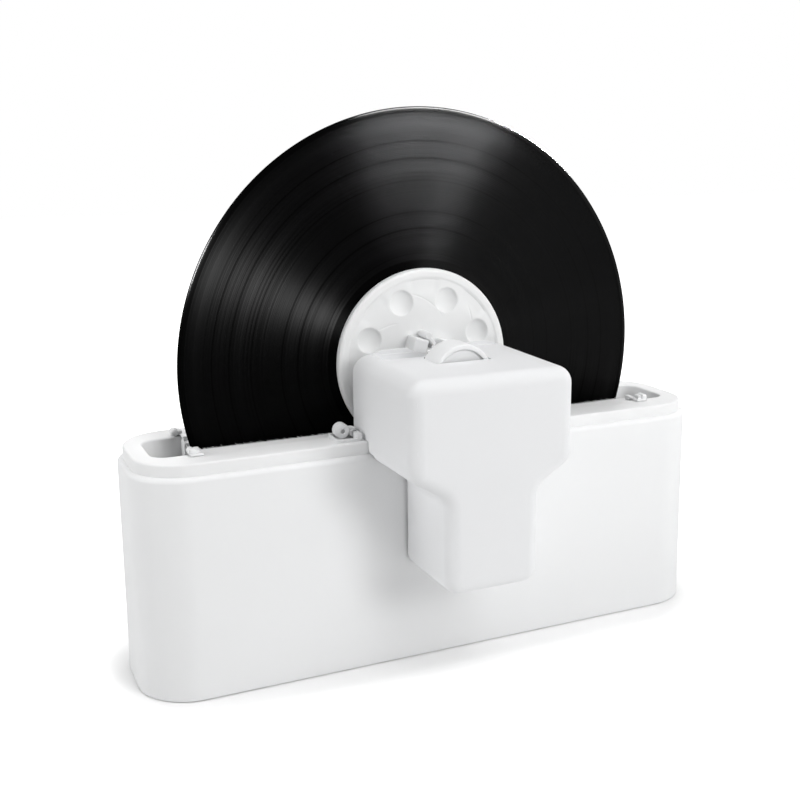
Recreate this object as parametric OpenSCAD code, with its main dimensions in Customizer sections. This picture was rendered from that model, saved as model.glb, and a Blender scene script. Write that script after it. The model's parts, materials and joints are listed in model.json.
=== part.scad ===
// Record cleaning machine: a narrow water bath with two brush bars, and a battery
// drive unit that hooks over the front rim and turns a clamped 12 inch record.
// X runs along the bath, Y from the front to the back, Z up. The origin is the
// centre of the footprint at the table.

/* [Record] */
// Radius of the record
record_r = 150.8; // [148:0.1:151]
// Thickness of the record at its label and edge bead
record_t = 1.9; // [1.5:0.1:2.4]
// Height of the record's axis above the table
axle_z = 175.7; // [172:0.1:180]

/* [Bath] */
// Length of the casing at its shoulder
casing_l = 370; // [366:1:380]
// Depth of the casing at its shoulder, front to back
casing_d = 85.5; // [84:0.5:90]
// Corner radius of the casing, seen from above
casing_r = 31; // [28:1:34]
// Outward flare of the casing at its foot
casing_flare = 1.3; // [0:0.1:3]
// Height of the shoulder
shoulder_z = 131; // [128:1:133]
// Height of the trough's rim
rim_z = 138.2; // [136:0.1:140]
// Inset of the rim from the casing's side
rim_inset = 3.3; // [2.5:0.1:5]
// Length of the trough's mouth
mouth_l = 342; // [338:1:344]
// Width of the trough's mouth
mouth_d = 40; // [38:1:44]
// Height of the trough's floor above the table
floor_z = 14; // [10:1:18]
// Wall thickness of the mouldings
wall = 2.4; // [2:0.1:3]

/* [Brush bars] */
// Half length of a bar
bar_half_l = 147; // [142:1:148]
// Top of a bar
bar_top = 137; // [134:0.5:137.5]
// Height of a bar
bar_h = 16; // [12:1:18]
// Rows of strands in one strip, from low to high
strand_rows = 4; // [3:1:5]
// Columns of strands along one strip
strand_cols = 25; // [20:1:30]
// Radius of a strand
strand_r = 0.45; // [0.3:0.05:0.6]

/* [Drive unit] */
// Reach of the drive unit's front in front of the record
front_reach = 100; // [98:1:104]
// Half width of the head at the front
head_half_w = 50.2; // [48:0.1:52]
// Half width of the battery body at the front
body_half_w = 28.8; // [27:0.1:31]
// Growth of both half widths towards the back, as a share
draft_share = 0.036; // [0:0.002:0.05]
// Height of the head's top
head_top = 184.7; // [183:0.1:187]
// Height of the battery body's underside
body_bottom = 60; // [56:1:64]
// Height at which the head starts to turn inwards
shoulder_turn_z = 135; // [132:1:138]
// Slope of the shoulder, measured from the vertical
shoulder_slope = 58; // [50:1:65]
// Roundness of the front edge
front_round = 8; // [5:0.5:8.5]

/* [Clamp and wheel] */
// Radius of the label discs
disc_r = 56; // [52:0.5:58]
// Distance of the front disc's face from the record's middle
disc_face = 6; // [5:0.1:7]
// Number of finger hollows in a disc
hollow_count = 8; // [6:1:10]
// Radius of the ring that the hollows lie on
hollow_ring_r = 39; // [36:0.5:41]
// Radius of the thumb wheel
wheel_r = 18.5; // [16:0.5:19]

/* [Gears] */
// Teeth of the gear on the spindle
output_teeth = 30; // [28:1:32]
// Teeth of the idler's small gear
idler_small_teeth = 14; // [13:1:15]
// Module of that pair
output_module = 1; // [0.9:0.05:1.05]
// Teeth of the idler's large gear
idler_large_teeth = 40; // [36:1:40]
// Teeth of the motor's pinion
motor_teeth = 12; // [12:1:14]
// Module of that pair
motor_module = 0.8; // [0.7:0.05:0.8]

/* [Hidden] */
$fn = 64;
eps = 0.01;
gap = 0.3;
foot_gap = 0.6;
// Depth of the casing's foot behind the record, and the shift that centres the footprint
back_reach = casing_d / 2 + casing_flare;
plane_y = (front_reach - back_reach) / 2;
corner_x = casing_l / 2 - casing_r;
corner_y = casing_d / 2 - casing_r;
rim_r = casing_r - rim_inset;
// Seat of the trough on the casing
seat_w = 3.2;
lip_t = 2.5;
shoulder_round = 3;
rim_round = 1;
// Screw posts that join trough and casing
post_x = 158;
post_y = 30.5;
post_r = 4.5;
shelf_t = 3;
pilot_r = 1.25;
foot_x = 168;
foot_y = 22;
foot_r = 6;
foot_h = 2.6;
// Trough
trough_corner_r = 70;
mouth_r = 9;
trough_draft = 3;
// Brush bars, measured from the record's plane
bar_outer = 17.9;
bar_inner = 8.5;
strip_x0 = 62;
strip_x1 = 147;
strip_h = 12;
strip_t = 1.6;
strip_top = bar_top - 1.5;
bar_round = 1.5;
bar_chamfer = 2;
strand_tip = 1.4;
// End hook of a bar: an arm over the rim, a foot that turns outwards and a tab that stands on it
arm_w = 5.2;
arm_t = 1.5;
arm_in = 12;
arm_reach = 27;
foot_in = 22;
foot_x1 = 151.5;
tab_w = 3.5;
tab_top = 142.6;
peg_z = 140.6;
big_peg_x = 150.3;
big_peg_r = 2.1;
big_peg_in = 18.8;
small_peg_x = 147;
small_peg_r = 1.5;
small_peg_in = 19.6;
// Guide rollers beside the drive unit, measured from the record's plane
roller_x = 62.6;
roller_z = 142.9;
roller_r = 4.4;
roller_front = 28;
roller_back = 21.9;
small_roller_x = 55.4;
small_roller_z = 141.4;
small_roller_r = 2.7;
roller_pin_r = 1.4;
bracket_x0 = 53.6;
bracket_x1 = 69;
bracket_back = 19.9;
bracket_front = 36;
bracket_rib_t = 1.6;
bracket_rib_h = 1.5;
bracket_bar_h = 2.4;
bracket_block = [3, 6.6, 4.4];
// Drive unit housing
top_round = 10;
shoulder_turn_r = 9;
waist_r = 10;
bottom_round = 9;
housing_back = 18.5;
hook_top = rim_z + gap;
hook_step_y = 40.2;
hook_step_z = shoulder_z + 0.7;
hook_back_y = 45.4;
arc_steps = 6;
round_steps = 5;
waist_z = shoulder_turn_z - shoulder_turn_r * sin(shoulder_slope) - waist_r * sin(shoulder_slope)
    - (head_half_w - shoulder_turn_r * (1 - cos(shoulder_slope)) - body_half_w
    - waist_r * (1 - cos(shoulder_slope))) / tan(shoulder_slope);
// Rail along the top's back edge: its flat half width and the radius that eases its ends
crest_half_w = 33;
crest_h = 2.3;
crest_round = 17;
// Recess in the top between rail and wheel, with its floor over the shaft
recess_x0 = -34.5;
recess_x1 = 19.5;
recess_ramp = 5.5;
recess_y0 = 22;
recess_y1 = 41;
recess_floor = 181.6;
recess_floor_t = 1.6;
recess_wall = 0.8;
gear_slot_back = 34.8;
gear_slot_half = 16;
slot_gap = 0.4;
// Spindle parts, measured forward from the record's plane
shaft_r = 4;
stub_r = 3.5;
shaft_front = 72.9;
shaft_back = -24;
shaft_step = record_t / 2 + 0.05;
run_fit = 0.05;
hub_front = 16.6;
hub_core_r = 8.5;
lobe_count = 4;
lobe_front = 18.1;
lobe_size = [9.2, 9];
lobe_r = 13.5;
lobe_angle = 125;
lobe_lean = -16;
fin_peg = [-2, 16.8];
fin_peg_r = 2.3;
fin_foot = [3, 10.8];
fin_t = 2.2;
fin_rib_front = 13;
wheel_back = 41;
wheel_front = 60;
wheel_rim_t = 3.2;
wheel_dish = 3;
wheel_web_t = 3;
gear_back = 35.6;
gear_t = 5;
bush_r = 5;
bush_flange_r = 5.8;
bush_flange_t = 1.5;
notch_r = 31;
notch_z = recess_floor + notch_r;
// Label discs: inset of the face inside the rim, seal groove, hollows and scoops
disc_rear_face = 5.1;
disc_sunk = 0.7;
disc_gap = 0.25;
seal_in = 52;
seal_out = 54.4;
seal_depth = 1.2;
hollow_r = 10.7;
hollow_rise = 7.4;
scoop_ring_r = 51.5;
scoop_r = 12;
scoop_depth = 1.5;
// Clamp nut, measured backward from the record's plane
nut_back = 5.2;
nut_l = 11;
nut_neck_r = 11;
nut_r = 17;
nut_tip_r = 15;
nut_grip_x = 19.5;
nut_grip_r = 5;
nut_grips = 8;
// Gearbox
idler_z = axle_z - output_module * (output_teeth + idler_small_teeth) / 2;
motor_z = idler_z - motor_module * (idler_large_teeth + motor_teeth) / 2;
idler_pin_r = 1.5;
idler_sleeve_r = 2.8;
large_gear_back = 64.5;
large_gear_t = 3.5;
mid_plate_back = 61.5;
mid_plate_t = 2;
mid_plate_half_w = 39.5;
front_plate_back = 70;
front_plate_t = 2.5;
front_plate_half_w = 22;
plate_top = 181;
frame_post_x = 35;
frame_post_z = [146, 176];
frame_post_r = 3.5;
cover_post_x = 43.5;
cover_post_z = [145.5, 172];
cover_post_r = 3.2;
screw_head_r = 2.5;
screw_head_t = 1.4;
pillar_x = 19.2;
pillar_z = [145, 177.5];
pillar_r = 2.5;
plate_bottom = 142;
front_plate_bottom = 119;
motor_r = 12;
motor_front = 96.6;
motor_shaft_r = 1;
motor_shaft_front = 80;
idler_boss_r = 4;
idler_boss_front = 34.9;
pressure_angle = 20;
backlash = 0.12;
// Batteries, measured forward from the record's plane
cell_r = 7.1;
cell_l = 50.5;
cell_z = 65.4;
cell_step = 7.5;
bay_y = 74;
holder_half = 16.6;
holder_top = 118;
holder_bottom = 64.4;
holder_wall = 1.2;
holder_rib = [10.4, 2, 50];
holder_rib_x = 21.8;
holder_rib_y = [62, 86];
contact_t = 0.4;
contact_w = 8;
contact_l = 24;
door_half_w = 18.6;
door_front = 92;
door_t = 2.2;
hinge_y = 57.2;
hinge_z = 62;
hinge_r = 1.9;
hinge_pin_r = 1;
hinge_mid = 12;
hinge_half_l = 19;
knuckle_l = 7;
knuckle_x = hinge_mid + gap;
door_back = 60;
door_cut_back = 54.6;
tongue_back = 57.2;
// Power button
button_y = 70;
button_z = 159;
button_r = 6;
button_out = 53;
button_in = 46.4;
button_flange_r = 7.4;
button_flange_t = 1.5;
board_x = 40.6;
board_t = 1.4;
board_y = [57, 83];
board_z = [150, 168];
board_post_r = 2;
board_post_l = 7.5;
switch_size = [2, 6, 6];

white = [0.93, 0.93, 0.93];
soft_white = [0.88, 0.88, 0.88];
grey = [0.6, 0.6, 0.62];
black = [0.05, 0.05, 0.06];
steel = [0.75, 0.76, 0.78];

// Shared helpers

// Moves a piece drawn round the record's plane to its place over the footprint
module at_plane() {
    translate([0, plane_y, 0]) children();
}

// Turns a piece drawn along Z so that it points forward from the record's plane
module forward(x = 0, z = axle_z) {
    at_plane() translate([x, 0, z]) rotate([90, 0, 0]) children();
}

// A rod that runs forward between two distances from the record's plane
module rod(r, from, to, x = 0, z = axle_z) {
    forward(x, z) translate([0, 0, from]) cylinder(r = r, h = to - from);
}

// Mirrors a piece to the other side in X as well
module both_sides() {
    children();
    mirror([1, 0, 0]) children();
}

// Sweeps a flat profile round a rounded rectangle whose corner centres are at cx and cy
module sweep_round(cx, cy) {
    for (q = [0:3]) {
        sx = (q == 0 || q == 3) ? 1 : -1;
        sy = q < 2 ? 1 : -1;
        translate([sx * cx, sy * cy, 0]) rotate([0, 0, 90 * q]) rotate_extrude(angle = 90) children();
    }
    for (side = [0, 1]) {
        rotate([0, 0, 180 * side]) translate([-cx, -cy, 0]) rotate([0, 0, -90]) rotate([90, 0, 0])
            mirror([0, 0, 1]) linear_extrude(2 * cx) children();
        rotate([0, 0, 180 * side]) translate([cx, -cy, 0]) rotate([90, 0, 0])
            mirror([0, 0, 1]) linear_extrude(2 * cy) children();
    }
}

module rounded_plate(l, d, r, h) {
    linear_extrude(h) rounded_rect(l, d, r);
}

module rounded_rect(l, d, r) {
    square([l - 2 * r, d], center = true);
    square([l, d - 2 * r], center = true);
    for (sx = [-1, 1], sy = [-1, 1]) {
        translate([sx * (l / 2 - r), sy * (d / 2 - r)]) circle(r);
    }
}

function arc(cx, cz, r, from, to, steps) =
    [for (i = [0:steps]) let (a = from + (to - from) * i / steps) [cx + r * cos(a), cz + r * sin(a)]];

// Bath

module casing_profile() {
    foot_r = casing_r + casing_flare;
    polygon(concat(
        [[foot_r - wall, foot_gap], [foot_r, foot_gap]],
        arc(casing_r - shoulder_round, shoulder_z - shoulder_round, shoulder_round, 0, 90, 8),
        [[rim_r - seat_w, shoulder_z], [rim_r - seat_w, shoulder_z - lip_t],
         [casing_r - wall - 1.2, shoulder_z - lip_t], [casing_r - wall, shoulder_z - lip_t - 1.2]]));
}

// A corner web that takes a screw and a foot, cut to the casing's inside
module corner_shelf() {
    intersection() {
        translate([corner_x, corner_y, foot_gap]) cylinder(r = casing_r + casing_flare - 1, h = shelf_t);
        translate([corner_x - 4, 12, 0]) cube([60, 60, 10]);
    }
}

module casing() {
    color(white) at_plane() difference() {
        union() {
            sweep_round(corner_x, corner_y) casing_profile();
            for (sy = [0, 1]) mirror([0, sy, 0]) both_sides() corner_shelf();
        }
        for (sx = [-1, 1], sy = [-1, 1]) {
            translate([sx * post_x, sy * post_y, -1]) cylinder(r = pilot_r + 0.4, h = 8);
            translate([sx * post_x, sy * post_y, -1]) cylinder(r = 3.2, h = 1 + foot_gap + 1.2);
            translate([sx * foot_x, sy * foot_y, -1]) cylinder(r = foot_r, h = foot_h + 1);
        }
    }
}

// The rim's section: a step that stands on the casing's lip
module rim_profile() {
    polygon(concat(
        [[rim_r - wall, shoulder_z], [rim_r, shoulder_z]],
        arc(rim_r - rim_round, rim_z - rim_round, rim_round, 0, 90, 4),
        [[rim_r - wall, rim_z]]));
}

// The tub's outer shape, or its hollow when grow is 0
module tub(grow, top) {
    half_l = mouth_l / 2 + grow;
    base = floor_z - grow;
    r = trough_corner_r + grow;
    intersection() {
        translate([0, 60, 0]) rotate([90, 0, 0]) linear_extrude(120) {
            translate([-half_l, base + r]) square([2 * half_l, top - base - r]);
            translate([-half_l + r, base]) square([2 * (half_l - r), r + 1]);
            for (sx = [-1, 1]) translate([sx * (half_l - r), base + r]) circle(r);
        }
        rotate([90, 0, 90]) translate([0, 0, -200]) linear_extrude(400) polygon([
            [-mouth_d / 2 - grow + trough_draft, base], [mouth_d / 2 + grow - trough_draft, base],
            [mouth_d / 2 + grow, top], [-mouth_d / 2 - grow, top]]);
        rounded_plate(mouth_l + 2 * grow, mouth_d + 2 * grow, mouth_r + grow, 200);
    }
}

module trough() {
    color(white) at_plane() difference() {
        union() {
            sweep_round(corner_x, corner_y) rim_profile();
            translate([0, 0, rim_z - wall])
                rounded_plate(2 * (corner_x + rim_r) - 2, 2 * (corner_y + rim_r) - 2, rim_r - 1, wall);
            tub(wall, rim_z);
            for (sx = [-1, 1], sy = [-1, 1]) {
                translate([sx * post_x, sy * post_y, foot_gap + shelf_t])
                    cylinder(r = post_r, h = rim_z - 1 - foot_gap - shelf_t);
            }
        }
        tub(0, rim_z + eps);
        for (sx = [-1, 1], sy = [-1, 1]) {
            translate([sx * post_x, sy * post_y, 0]) cylinder(r = pilot_r, h = 22);
        }
    }
}

module rubber_feet() {
    color(grey) at_plane() for (sx = [-1, 1], sy = [-1, 1]) {
        translate([sx * foot_x, sy * foot_y, 0]) cylinder(r = foot_r - 0.1, h = foot_h);
    }
}

module basin_screws() {
    color(steel) at_plane() for (sx = [-1, 1], sy = [-1, 1]) {
        translate([sx * post_x, sy * post_y, foot_gap + 0.2]) cylinder(r = 2.8, h = 1);
        translate([sx * post_x, sy * post_y, foot_gap + 0.2]) cylinder(r = pilot_r, h = 16);
    }
}

// Brush bars

// Section of the front bar, with its groove for the strips; x is the distance from the record
module bar_section() {
    low = bar_top - bar_h;
    difference() {
        polygon(concat(
            [[bar_inner, low], [bar_outer - bar_chamfer, low], [bar_outer, low + bar_chamfer]],
            arc(bar_outer - bar_round, bar_top - bar_round, bar_round, 0, 90, 4),
            [[bar_inner, bar_top]]));
        translate([bar_inner - 1, strip_top - strip_h]) square([1 + strip_t, strip_h]);
    }
}

// A round peg that points along Y, with its near end at a distance from the record
module bar_peg(x, r, near) {
    translate([x, -near, peg_z]) rotate([90, 0, 0]) cylinder(r = r, h = arm_reach - near - tab_w / 2);
}

// An end hook that reaches over the rim, with its foot, tab and two pegs
module bar_lug() {
    arm_x = bar_half_l - arm_w;
    translate([arm_x, -bar_outer, bar_top - 2])
        cube([arm_w, bar_outer - arm_in, hook_top + arm_t - bar_top + 2]);
    translate([arm_x, -arm_reach, hook_top]) cube([arm_w, arm_reach - arm_in, arm_t]);
    translate([arm_x, -arm_reach, hook_top]) cube([foot_x1 - arm_x, arm_reach - foot_in, arm_t]);
    translate([foot_x1 - tab_w, -arm_reach, hook_top]) cube([tab_w, tab_w, tab_top - hook_top]);
    bar_peg(big_peg_x, big_peg_r, big_peg_in);
    bar_peg(small_peg_x, small_peg_r, small_peg_in);
}

module brush_bar() {
    translate([-bar_half_l, 0, 0]) mirror([0, 1, 0]) rotate([90, 0, 90]) linear_extrude(2 * bar_half_l)
        bar_section();
    both_sides() bar_lug();
}

// A row-and-column field of strands on one slice of backing, ending just short of the record
module bristle_strip() {
    back = bar_inner + strip_t;
    low = strip_top - strip_h;
    pitch_x = (strip_x1 - strip_x0) / strand_cols;
    pitch_z = strip_h / strand_rows;
    translate([strip_x0, -back, low]) cube([strip_x1 - strip_x0 - 1, strip_t + 0.4, strip_h]);
    for (c = [0:strand_cols - 1], r = [0:strand_rows - 1]) {
        translate([strip_x0 + (c + 0.25 + 0.5 * (r % 2)) * pitch_x, -strand_tip, low + (r + 0.5) * pitch_z])
            rotate([90, 0, 0]) cylinder(r = strand_r, h = bar_inner - strand_tip + 0.5, $fn = 3);
    }
}

module front_brush_bar() {
    color(white) at_plane() brush_bar();
}

module rear_brush_bar() {
    color(white) at_plane() mirror([0, 1, 0]) brush_bar();
}

module front_left_bristles() {
    color(soft_white) at_plane() mirror([1, 0, 0]) bristle_strip();
}

module front_right_bristles() {
    color(soft_white) at_plane() bristle_strip();
}

module rear_left_bristles() {
    color(soft_white) at_plane() mirror([0, 1, 0]) mirror([1, 0, 0]) bristle_strip();
}

module rear_right_bristles() {
    color(soft_white) at_plane() mirror([0, 1, 0]) bristle_strip();
}

// Guide rollers on the front rim

module roller_bracket() {
    l = bracket_x1 - bracket_x0;
    plate_front = roller_back - gap;
    plate_t = plate_front - bracket_back;
    at_plane() {
        translate([bracket_x0, -plate_front, rim_z]) cube([l, plate_t, bracket_bar_h]);
        translate([bracket_x1 - bracket_rib_t, -bracket_front, rim_z])
            cube([bracket_rib_t, bracket_front - bracket_back, bracket_rib_h]);
        translate([bracket_x0, -bracket_front, rim_z]) cube([l, bracket_rib_t, bracket_rib_h]);
        translate([bracket_x0, -bracket_front, rim_z]) cube(bracket_block);
    }
    for (p = [[roller_x, roller_z, roller_r - 1.2], [small_roller_x, small_roller_z, small_roller_r - 0.4]]) {
        rod(p[2], bracket_back, plate_front, p[0], p[1]);
        at_plane() translate([p[0] - p[2], -plate_front, rim_z + 1])
            cube([2 * p[2], plate_t, p[1] - rim_z - 1]);
        rod(roller_pin_r, bracket_back + 0.5, roller_front - 2.2, p[0], p[1]);
    }
}

module left_roller_bracket() {
    color(white) mirror([1, 0, 0]) roller_bracket();
}

module right_roller_bracket() {
    color(white) roller_bracket();
}

module roller(x, z, r) {
    forward(x, z) translate([0, 0, roller_back]) difference() {
        union() {
            cylinder(r = r, h = roller_front - roller_back - 0.8);
            cylinder(r = r - 0.8, h = roller_front - roller_back);
        }
        translate([0, 0, -1]) cylinder(r = roller_pin_r + run_fit, h = 10);
    }
}

module left_guide_roller() {
    color(white) roller(-roller_x, roller_z, roller_r);
}

module right_guide_roller() {
    color(white) roller(roller_x, roller_z, roller_r);
}

module left_small_roller() {
    color(white) roller(-small_roller_x, small_roller_z, small_roller_r);
}

module right_small_roller() {
    color(white) roller(small_roller_x, small_roller_z, small_roller_r);
}

// Drive unit housing

// Half of the housing's front outline, bottom to top, drawn in by inset
function half_outline(inset) = concat(
    arc(body_half_w - bottom_round, body_bottom + bottom_round, bottom_round - inset, -90, 0, arc_steps),
    arc(body_half_w + waist_r, waist_z, waist_r + inset, 180, 180 - shoulder_slope, arc_steps),
    arc(head_half_w - shoulder_turn_r, shoulder_turn_z, shoulder_turn_r - inset, -shoulder_slope, 0,
        arc_steps),
    arc(head_half_w - top_round, head_top - top_round, top_round - inset, 0, 90, arc_steps));

function outline(inset) = let (half = half_outline(inset))
    concat(half, [for (i = [len(half) - 1:-1:0]) [-half[i][0], half[i][1]]]);

// One station of the loft: the outline at a depth behind the front face
function station(depth, inset) = [for (p = outline(inset))
    [p[0] * (1 + draft_share * depth / (front_reach - housing_back)), depth - front_reach, p[1]]];

// The moulded shell's solid form: rounded front edge, then straight walls with draft
module housing_form(skin, back) {
    r = front_round - skin;
    stations = concat(
        [for (i = [0:round_steps]) let (a = 90 * i / round_steps)
            station(skin + r * (1 - cos(a)), skin + r * (1 - sin(a)))],
        [station(front_reach - back, skin)]);
    n = len(stations[0]);
    last = len(stations) - 1;
    polyhedron(
        points = [for (s = stations) for (p = s) p],
        faces = concat(
            [for (i = [0:n / 2 - 2]) [i, n - 1 - i, n - 2 - i, i + 1]],
            [for (s = [0:last - 1], i = [0:n - 1]) [s * n + i, (s + 1) * n + (i + 1) % n, (s + 1) * n + i]],
            [for (s = [0:last - 1], i = [0:n - 1])
                [s * n + i, s * n + (i + 1) % n, (s + 1) * n + (i + 1) % n]],
            [for (i = [0:n / 2 - 2])
                [last * n + i, last * n + i + 1, last * n + n - 2 - i, last * n + n - 1 - i]]));
}

// The space that the bath's rim takes under the hook, as a side view
module hook_cut() {
    rotate([90, 0, 90]) translate([0, 0, -80]) linear_extrude(160) polygon([
        [0, hook_top], [-hook_step_y, hook_top], [-hook_step_y, hook_step_z],
        [-hook_back_y, hook_step_z], [-hook_back_y, 0], [0, 0]]);
}

// A plate that follows the hook's underside and closes the back
module back_band() {
    t = wall;
    rotate([90, 0, 90]) translate([0, 0, -80]) linear_extrude(160) polygon([
        [-housing_back, 200], [-housing_back, hook_top], [-hook_step_y, hook_top],
        [-hook_step_y, hook_step_z], [-hook_back_y, hook_step_z], [-hook_back_y, 0],
        [-hook_back_y - t, 0], [-hook_back_y - t, hook_step_z + t], [-hook_step_y - t, hook_step_z + t],
        [-hook_step_y - t, hook_top + t], [-housing_back - t, hook_top + t], [-housing_back - t, 200]]);
}

// Openings in the head's top: the spindle's notch, the recess and the slots for gear and wheel
module top_openings() {
    over = head_top + 10;
    rod(notch_r, 10, recess_y0 + 0.2, 0, notch_z);
    at_plane() {
        translate([0, -recess_y0, 0]) rotate([90, 0, 0]) linear_extrude(recess_y1 - recess_y0) polygon([
            [recess_x0, recess_floor], [recess_x1, recess_floor], [recess_x1, over],
            [recess_x0 - recess_ramp, over], [recess_x0 - recess_ramp, head_top]]);
        translate([-gear_slot_half, -recess_y1, head_top - 8])
            cube([2 * gear_slot_half, recess_y1 - gear_slot_back, 20]);
        translate([-wheel_r - slot_gap, -wheel_front - slot_gap, head_top - 8])
            cube([2 * (wheel_r + slot_gap), wheel_front + slot_gap - recess_y1 + 1, 20]);
    }
}

// The solid round the recess, under the head's top
module recess_block() {
    top = head_top - wall;
    low = recess_floor - recess_floor_t;
    translate([recess_x0 - 3, -recess_y1 - 1, low])
        cube([recess_x1 - recess_x0 + 5, recess_y1 + 1 - recess_y0 + recess_wall, top - low + 0.1]);
}

// A low rail along the top's back edge, with ends that ease into the corners
module crest() {
    turn = acos(1 - crest_h / crest_round);
    end = crest_half_w + crest_round * sin(turn);
    rotate([90, 0, 0]) linear_extrude(wall) polygon(concat(
        arc(crest_half_w, crest_h - crest_round, crest_round, 90 - turn, 90, 6),
        arc(-crest_half_w, crest_h - crest_round, crest_round, 90, 90 + turn, 6),
        [[-end, -1], [end, -1]]));
}

// One of the housing's two knuckles of the door's hinge
module hinge_knuckle(side) {
    translate([side * (knuckle_x + knuckle_l / 2) - knuckle_l / 2, -hinge_y, hinge_z]) rotate([0, 90, 0])
        cylinder(r = hinge_r, h = knuckle_l);
}

module drive_housing() {
    color(white) difference() {
        union() {
            difference() {
                at_plane() housing_form(0, housing_back);
                at_plane() housing_form(wall, housing_back - 2);
            }
            at_plane() translate([0, -housing_back, head_top]) crest();
            at_plane() recess_block();
            for (sx = [-1, 1], z = frame_post_z) {
                rod(frame_post_r, mid_plate_back + mid_plate_t, front_reach - wall / 2, sx * frame_post_x, z);
            }
            for (sx = [-1, 1], z = cover_post_z) {
                rod(cover_post_r, housing_back + wall, front_reach - wall / 2, sx * cover_post_x, z);
            }
            for (sx = [-1, 1], y = holder_rib_y) {
                at_plane() translate([sx * holder_rib_x - holder_rib[0] / 2, -y - 1, body_bottom + 1])
                    cube(holder_rib);
            }
            for (y = [board_y[0] + 2, board_y[1] - 2]) {
                at_plane() translate([board_x + board_t, -y, button_z]) rotate([0, 90, 0])
                    cylinder(r = board_post_r, h = board_post_l);
            }
            at_plane() for (sx = [-1, 1]) hinge_knuckle(sx);
        }
        at_plane() hook_cut();
        top_openings();
        for (sx = [-1, 1], z = frame_post_z) rod(pilot_r, 60, 76, sx * frame_post_x, z);
        for (sx = [-1, 1], z = cover_post_z) rod(pilot_r, 10, 36, sx * cover_post_x, z);
        at_plane() translate([board_x, -button_y, button_z]) rotate([0, 90, 0])
            cylinder(r = button_r + gap, h = 20);
        at_plane() difference() {
            translate([-door_half_w - gap, -door_front - gap, body_bottom - 1])
                cube([2 * (door_half_w + gap), door_front - door_cut_back + gap, wall + 1.1]);
            for (sx = [-1, 1]) hinge_knuckle(sx);
        }
        at_plane() translate([-hinge_half_l, -hinge_y, hinge_z]) rotate([0, 90, 0])
            cylinder(r = hinge_pin_r, h = 2 * hinge_half_l);
    }
}

module back_cover() {
    color(white) difference() {
        union() {
            at_plane() intersection() {
                back_band();
                housing_form(wall, housing_back - 2);
            }
            rod(idler_boss_r, housing_back + 1, idler_boss_front, 0, idler_z);
        }
        rod(bush_r, 10, 30);
        rod(notch_r, 10, 30, 0, notch_z);
        rod(idler_pin_r, 25, 50, 0, idler_z);
        for (sx = [-1, 1], z = cover_post_z) {
            rod(pilot_r + 0.2, 10, 30, sx * cover_post_x, z);
            rod(screw_head_r + 0.2, 10, housing_back + screw_head_t, sx * cover_post_x, z);
        }
    }
}

module cover_screws() {
    color(steel) for (sx = [-1, 1], z = cover_post_z) {
        rod(screw_head_r, housing_back, housing_back + screw_head_t, sx * cover_post_x, z);
        rod(pilot_r, housing_back, 32, sx * cover_post_x, z);
    }
}

// Gearbox

module plate(half_w, low, high, back, t) {
    at_plane() translate([-half_w, -back - t, low]) cube([2 * half_w, t, high - low]);
}

module gearbox_frame() {
    color(grey) difference() {
        union() {
            plate(mid_plate_half_w, plate_bottom, plate_top, mid_plate_back, mid_plate_t);
            plate(front_plate_half_w, front_plate_bottom, plate_top, front_plate_back, front_plate_t);
            for (sx = [-1, 1], z = pillar_z) {
                rod(pillar_r, mid_plate_back + mid_plate_t / 2, front_plate_back + 1, sx * pillar_x, z);
            }
        }
        rod(shaft_r + 0.6, 50, mid_plate_back + mid_plate_t + 1);
        rod(bush_r, front_plate_back - 1, 80);
        rod(idler_sleeve_r + 0.6, 50, mid_plate_back + mid_plate_t + 1, 0, idler_z);
        rod(idler_pin_r, front_plate_back - 1, 80, 0, idler_z);
        rod(3, front_plate_back - 1, 80, 0, motor_z);
        for (sx = [-1, 1], z = frame_post_z) rod(pilot_r + 0.2, 50, 66, sx * frame_post_x, z);
    }
}

module frame_screws() {
    color(steel) for (sx = [-1, 1], z = frame_post_z) {
        rod(screw_head_r, mid_plate_back - screw_head_t, mid_plate_back, sx * frame_post_x, z);
        rod(pilot_r, mid_plate_back - 1, 74, sx * frame_post_x, z);
    }
}

module gear_motor() {
    color(grey) difference() {
        union() {
            rod(motor_r, front_plate_back + front_plate_t, motor_front - 2, 0, motor_z);
            rod(motor_r - 2, front_plate_back + front_plate_t, motor_front, 0, motor_z);
            rod(2.9, front_plate_back + 0.4, front_plate_back + front_plate_t + 1, 0, motor_z);
        }
        rod(motor_shaft_r + run_fit, 60, motor_shaft_front + 0.4, 0, motor_z);
    }
}

// Involute gear outlines: t is the roll, in radians, at radius r over the base circle
function roll(r, base) = r <= base ? 0 : sqrt(r * r / (base * base) - 1);
function involute_turn(r, base) = let (t = roll(r, base)) t * 180 / PI - atan(t);
function gear_base(teeth, m) = m * teeth / 2 * cos(pressure_angle);
function tooth_half(r, teeth, m) = 90 / teeth - backlash / (m * teeth) * 180 / PI
    + involute_turn(m * teeth / 2, gear_base(teeth, m)) - involute_turn(r, gear_base(teeth, m));
function gear_radii(teeth, m) = let (root = m * (teeth / 2 - 1.15), tip = m * (teeth / 2 + 0.9))
    [root, max(root + 0.1, gear_base(teeth, m)), m * teeth / 2, tip];
function gear_outline(teeth, m, turn) = let (radii = gear_radii(teeth, m)) [
    for (i = [0:teeth - 1], side = [-1, 1], k = [0:3])
        let (r = radii[side < 0 ? k : 3 - k], a = turn + 360 * i / teeth + side * tooth_half(r, teeth, m))
        r * [cos(a), sin(a)]];

module gear(teeth, m, t, turn) {
    linear_extrude(t) polygon(gear_outline(teeth, m, turn));
}

module output_gear() {
    color(grey) forward() translate([0, 0, gear_back]) difference() {
        gear(output_teeth, output_module, gear_t, -90);
        translate([0, 0, -1]) cylinder(r = shaft_r, h = gear_t + 2);
    }
}

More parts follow.
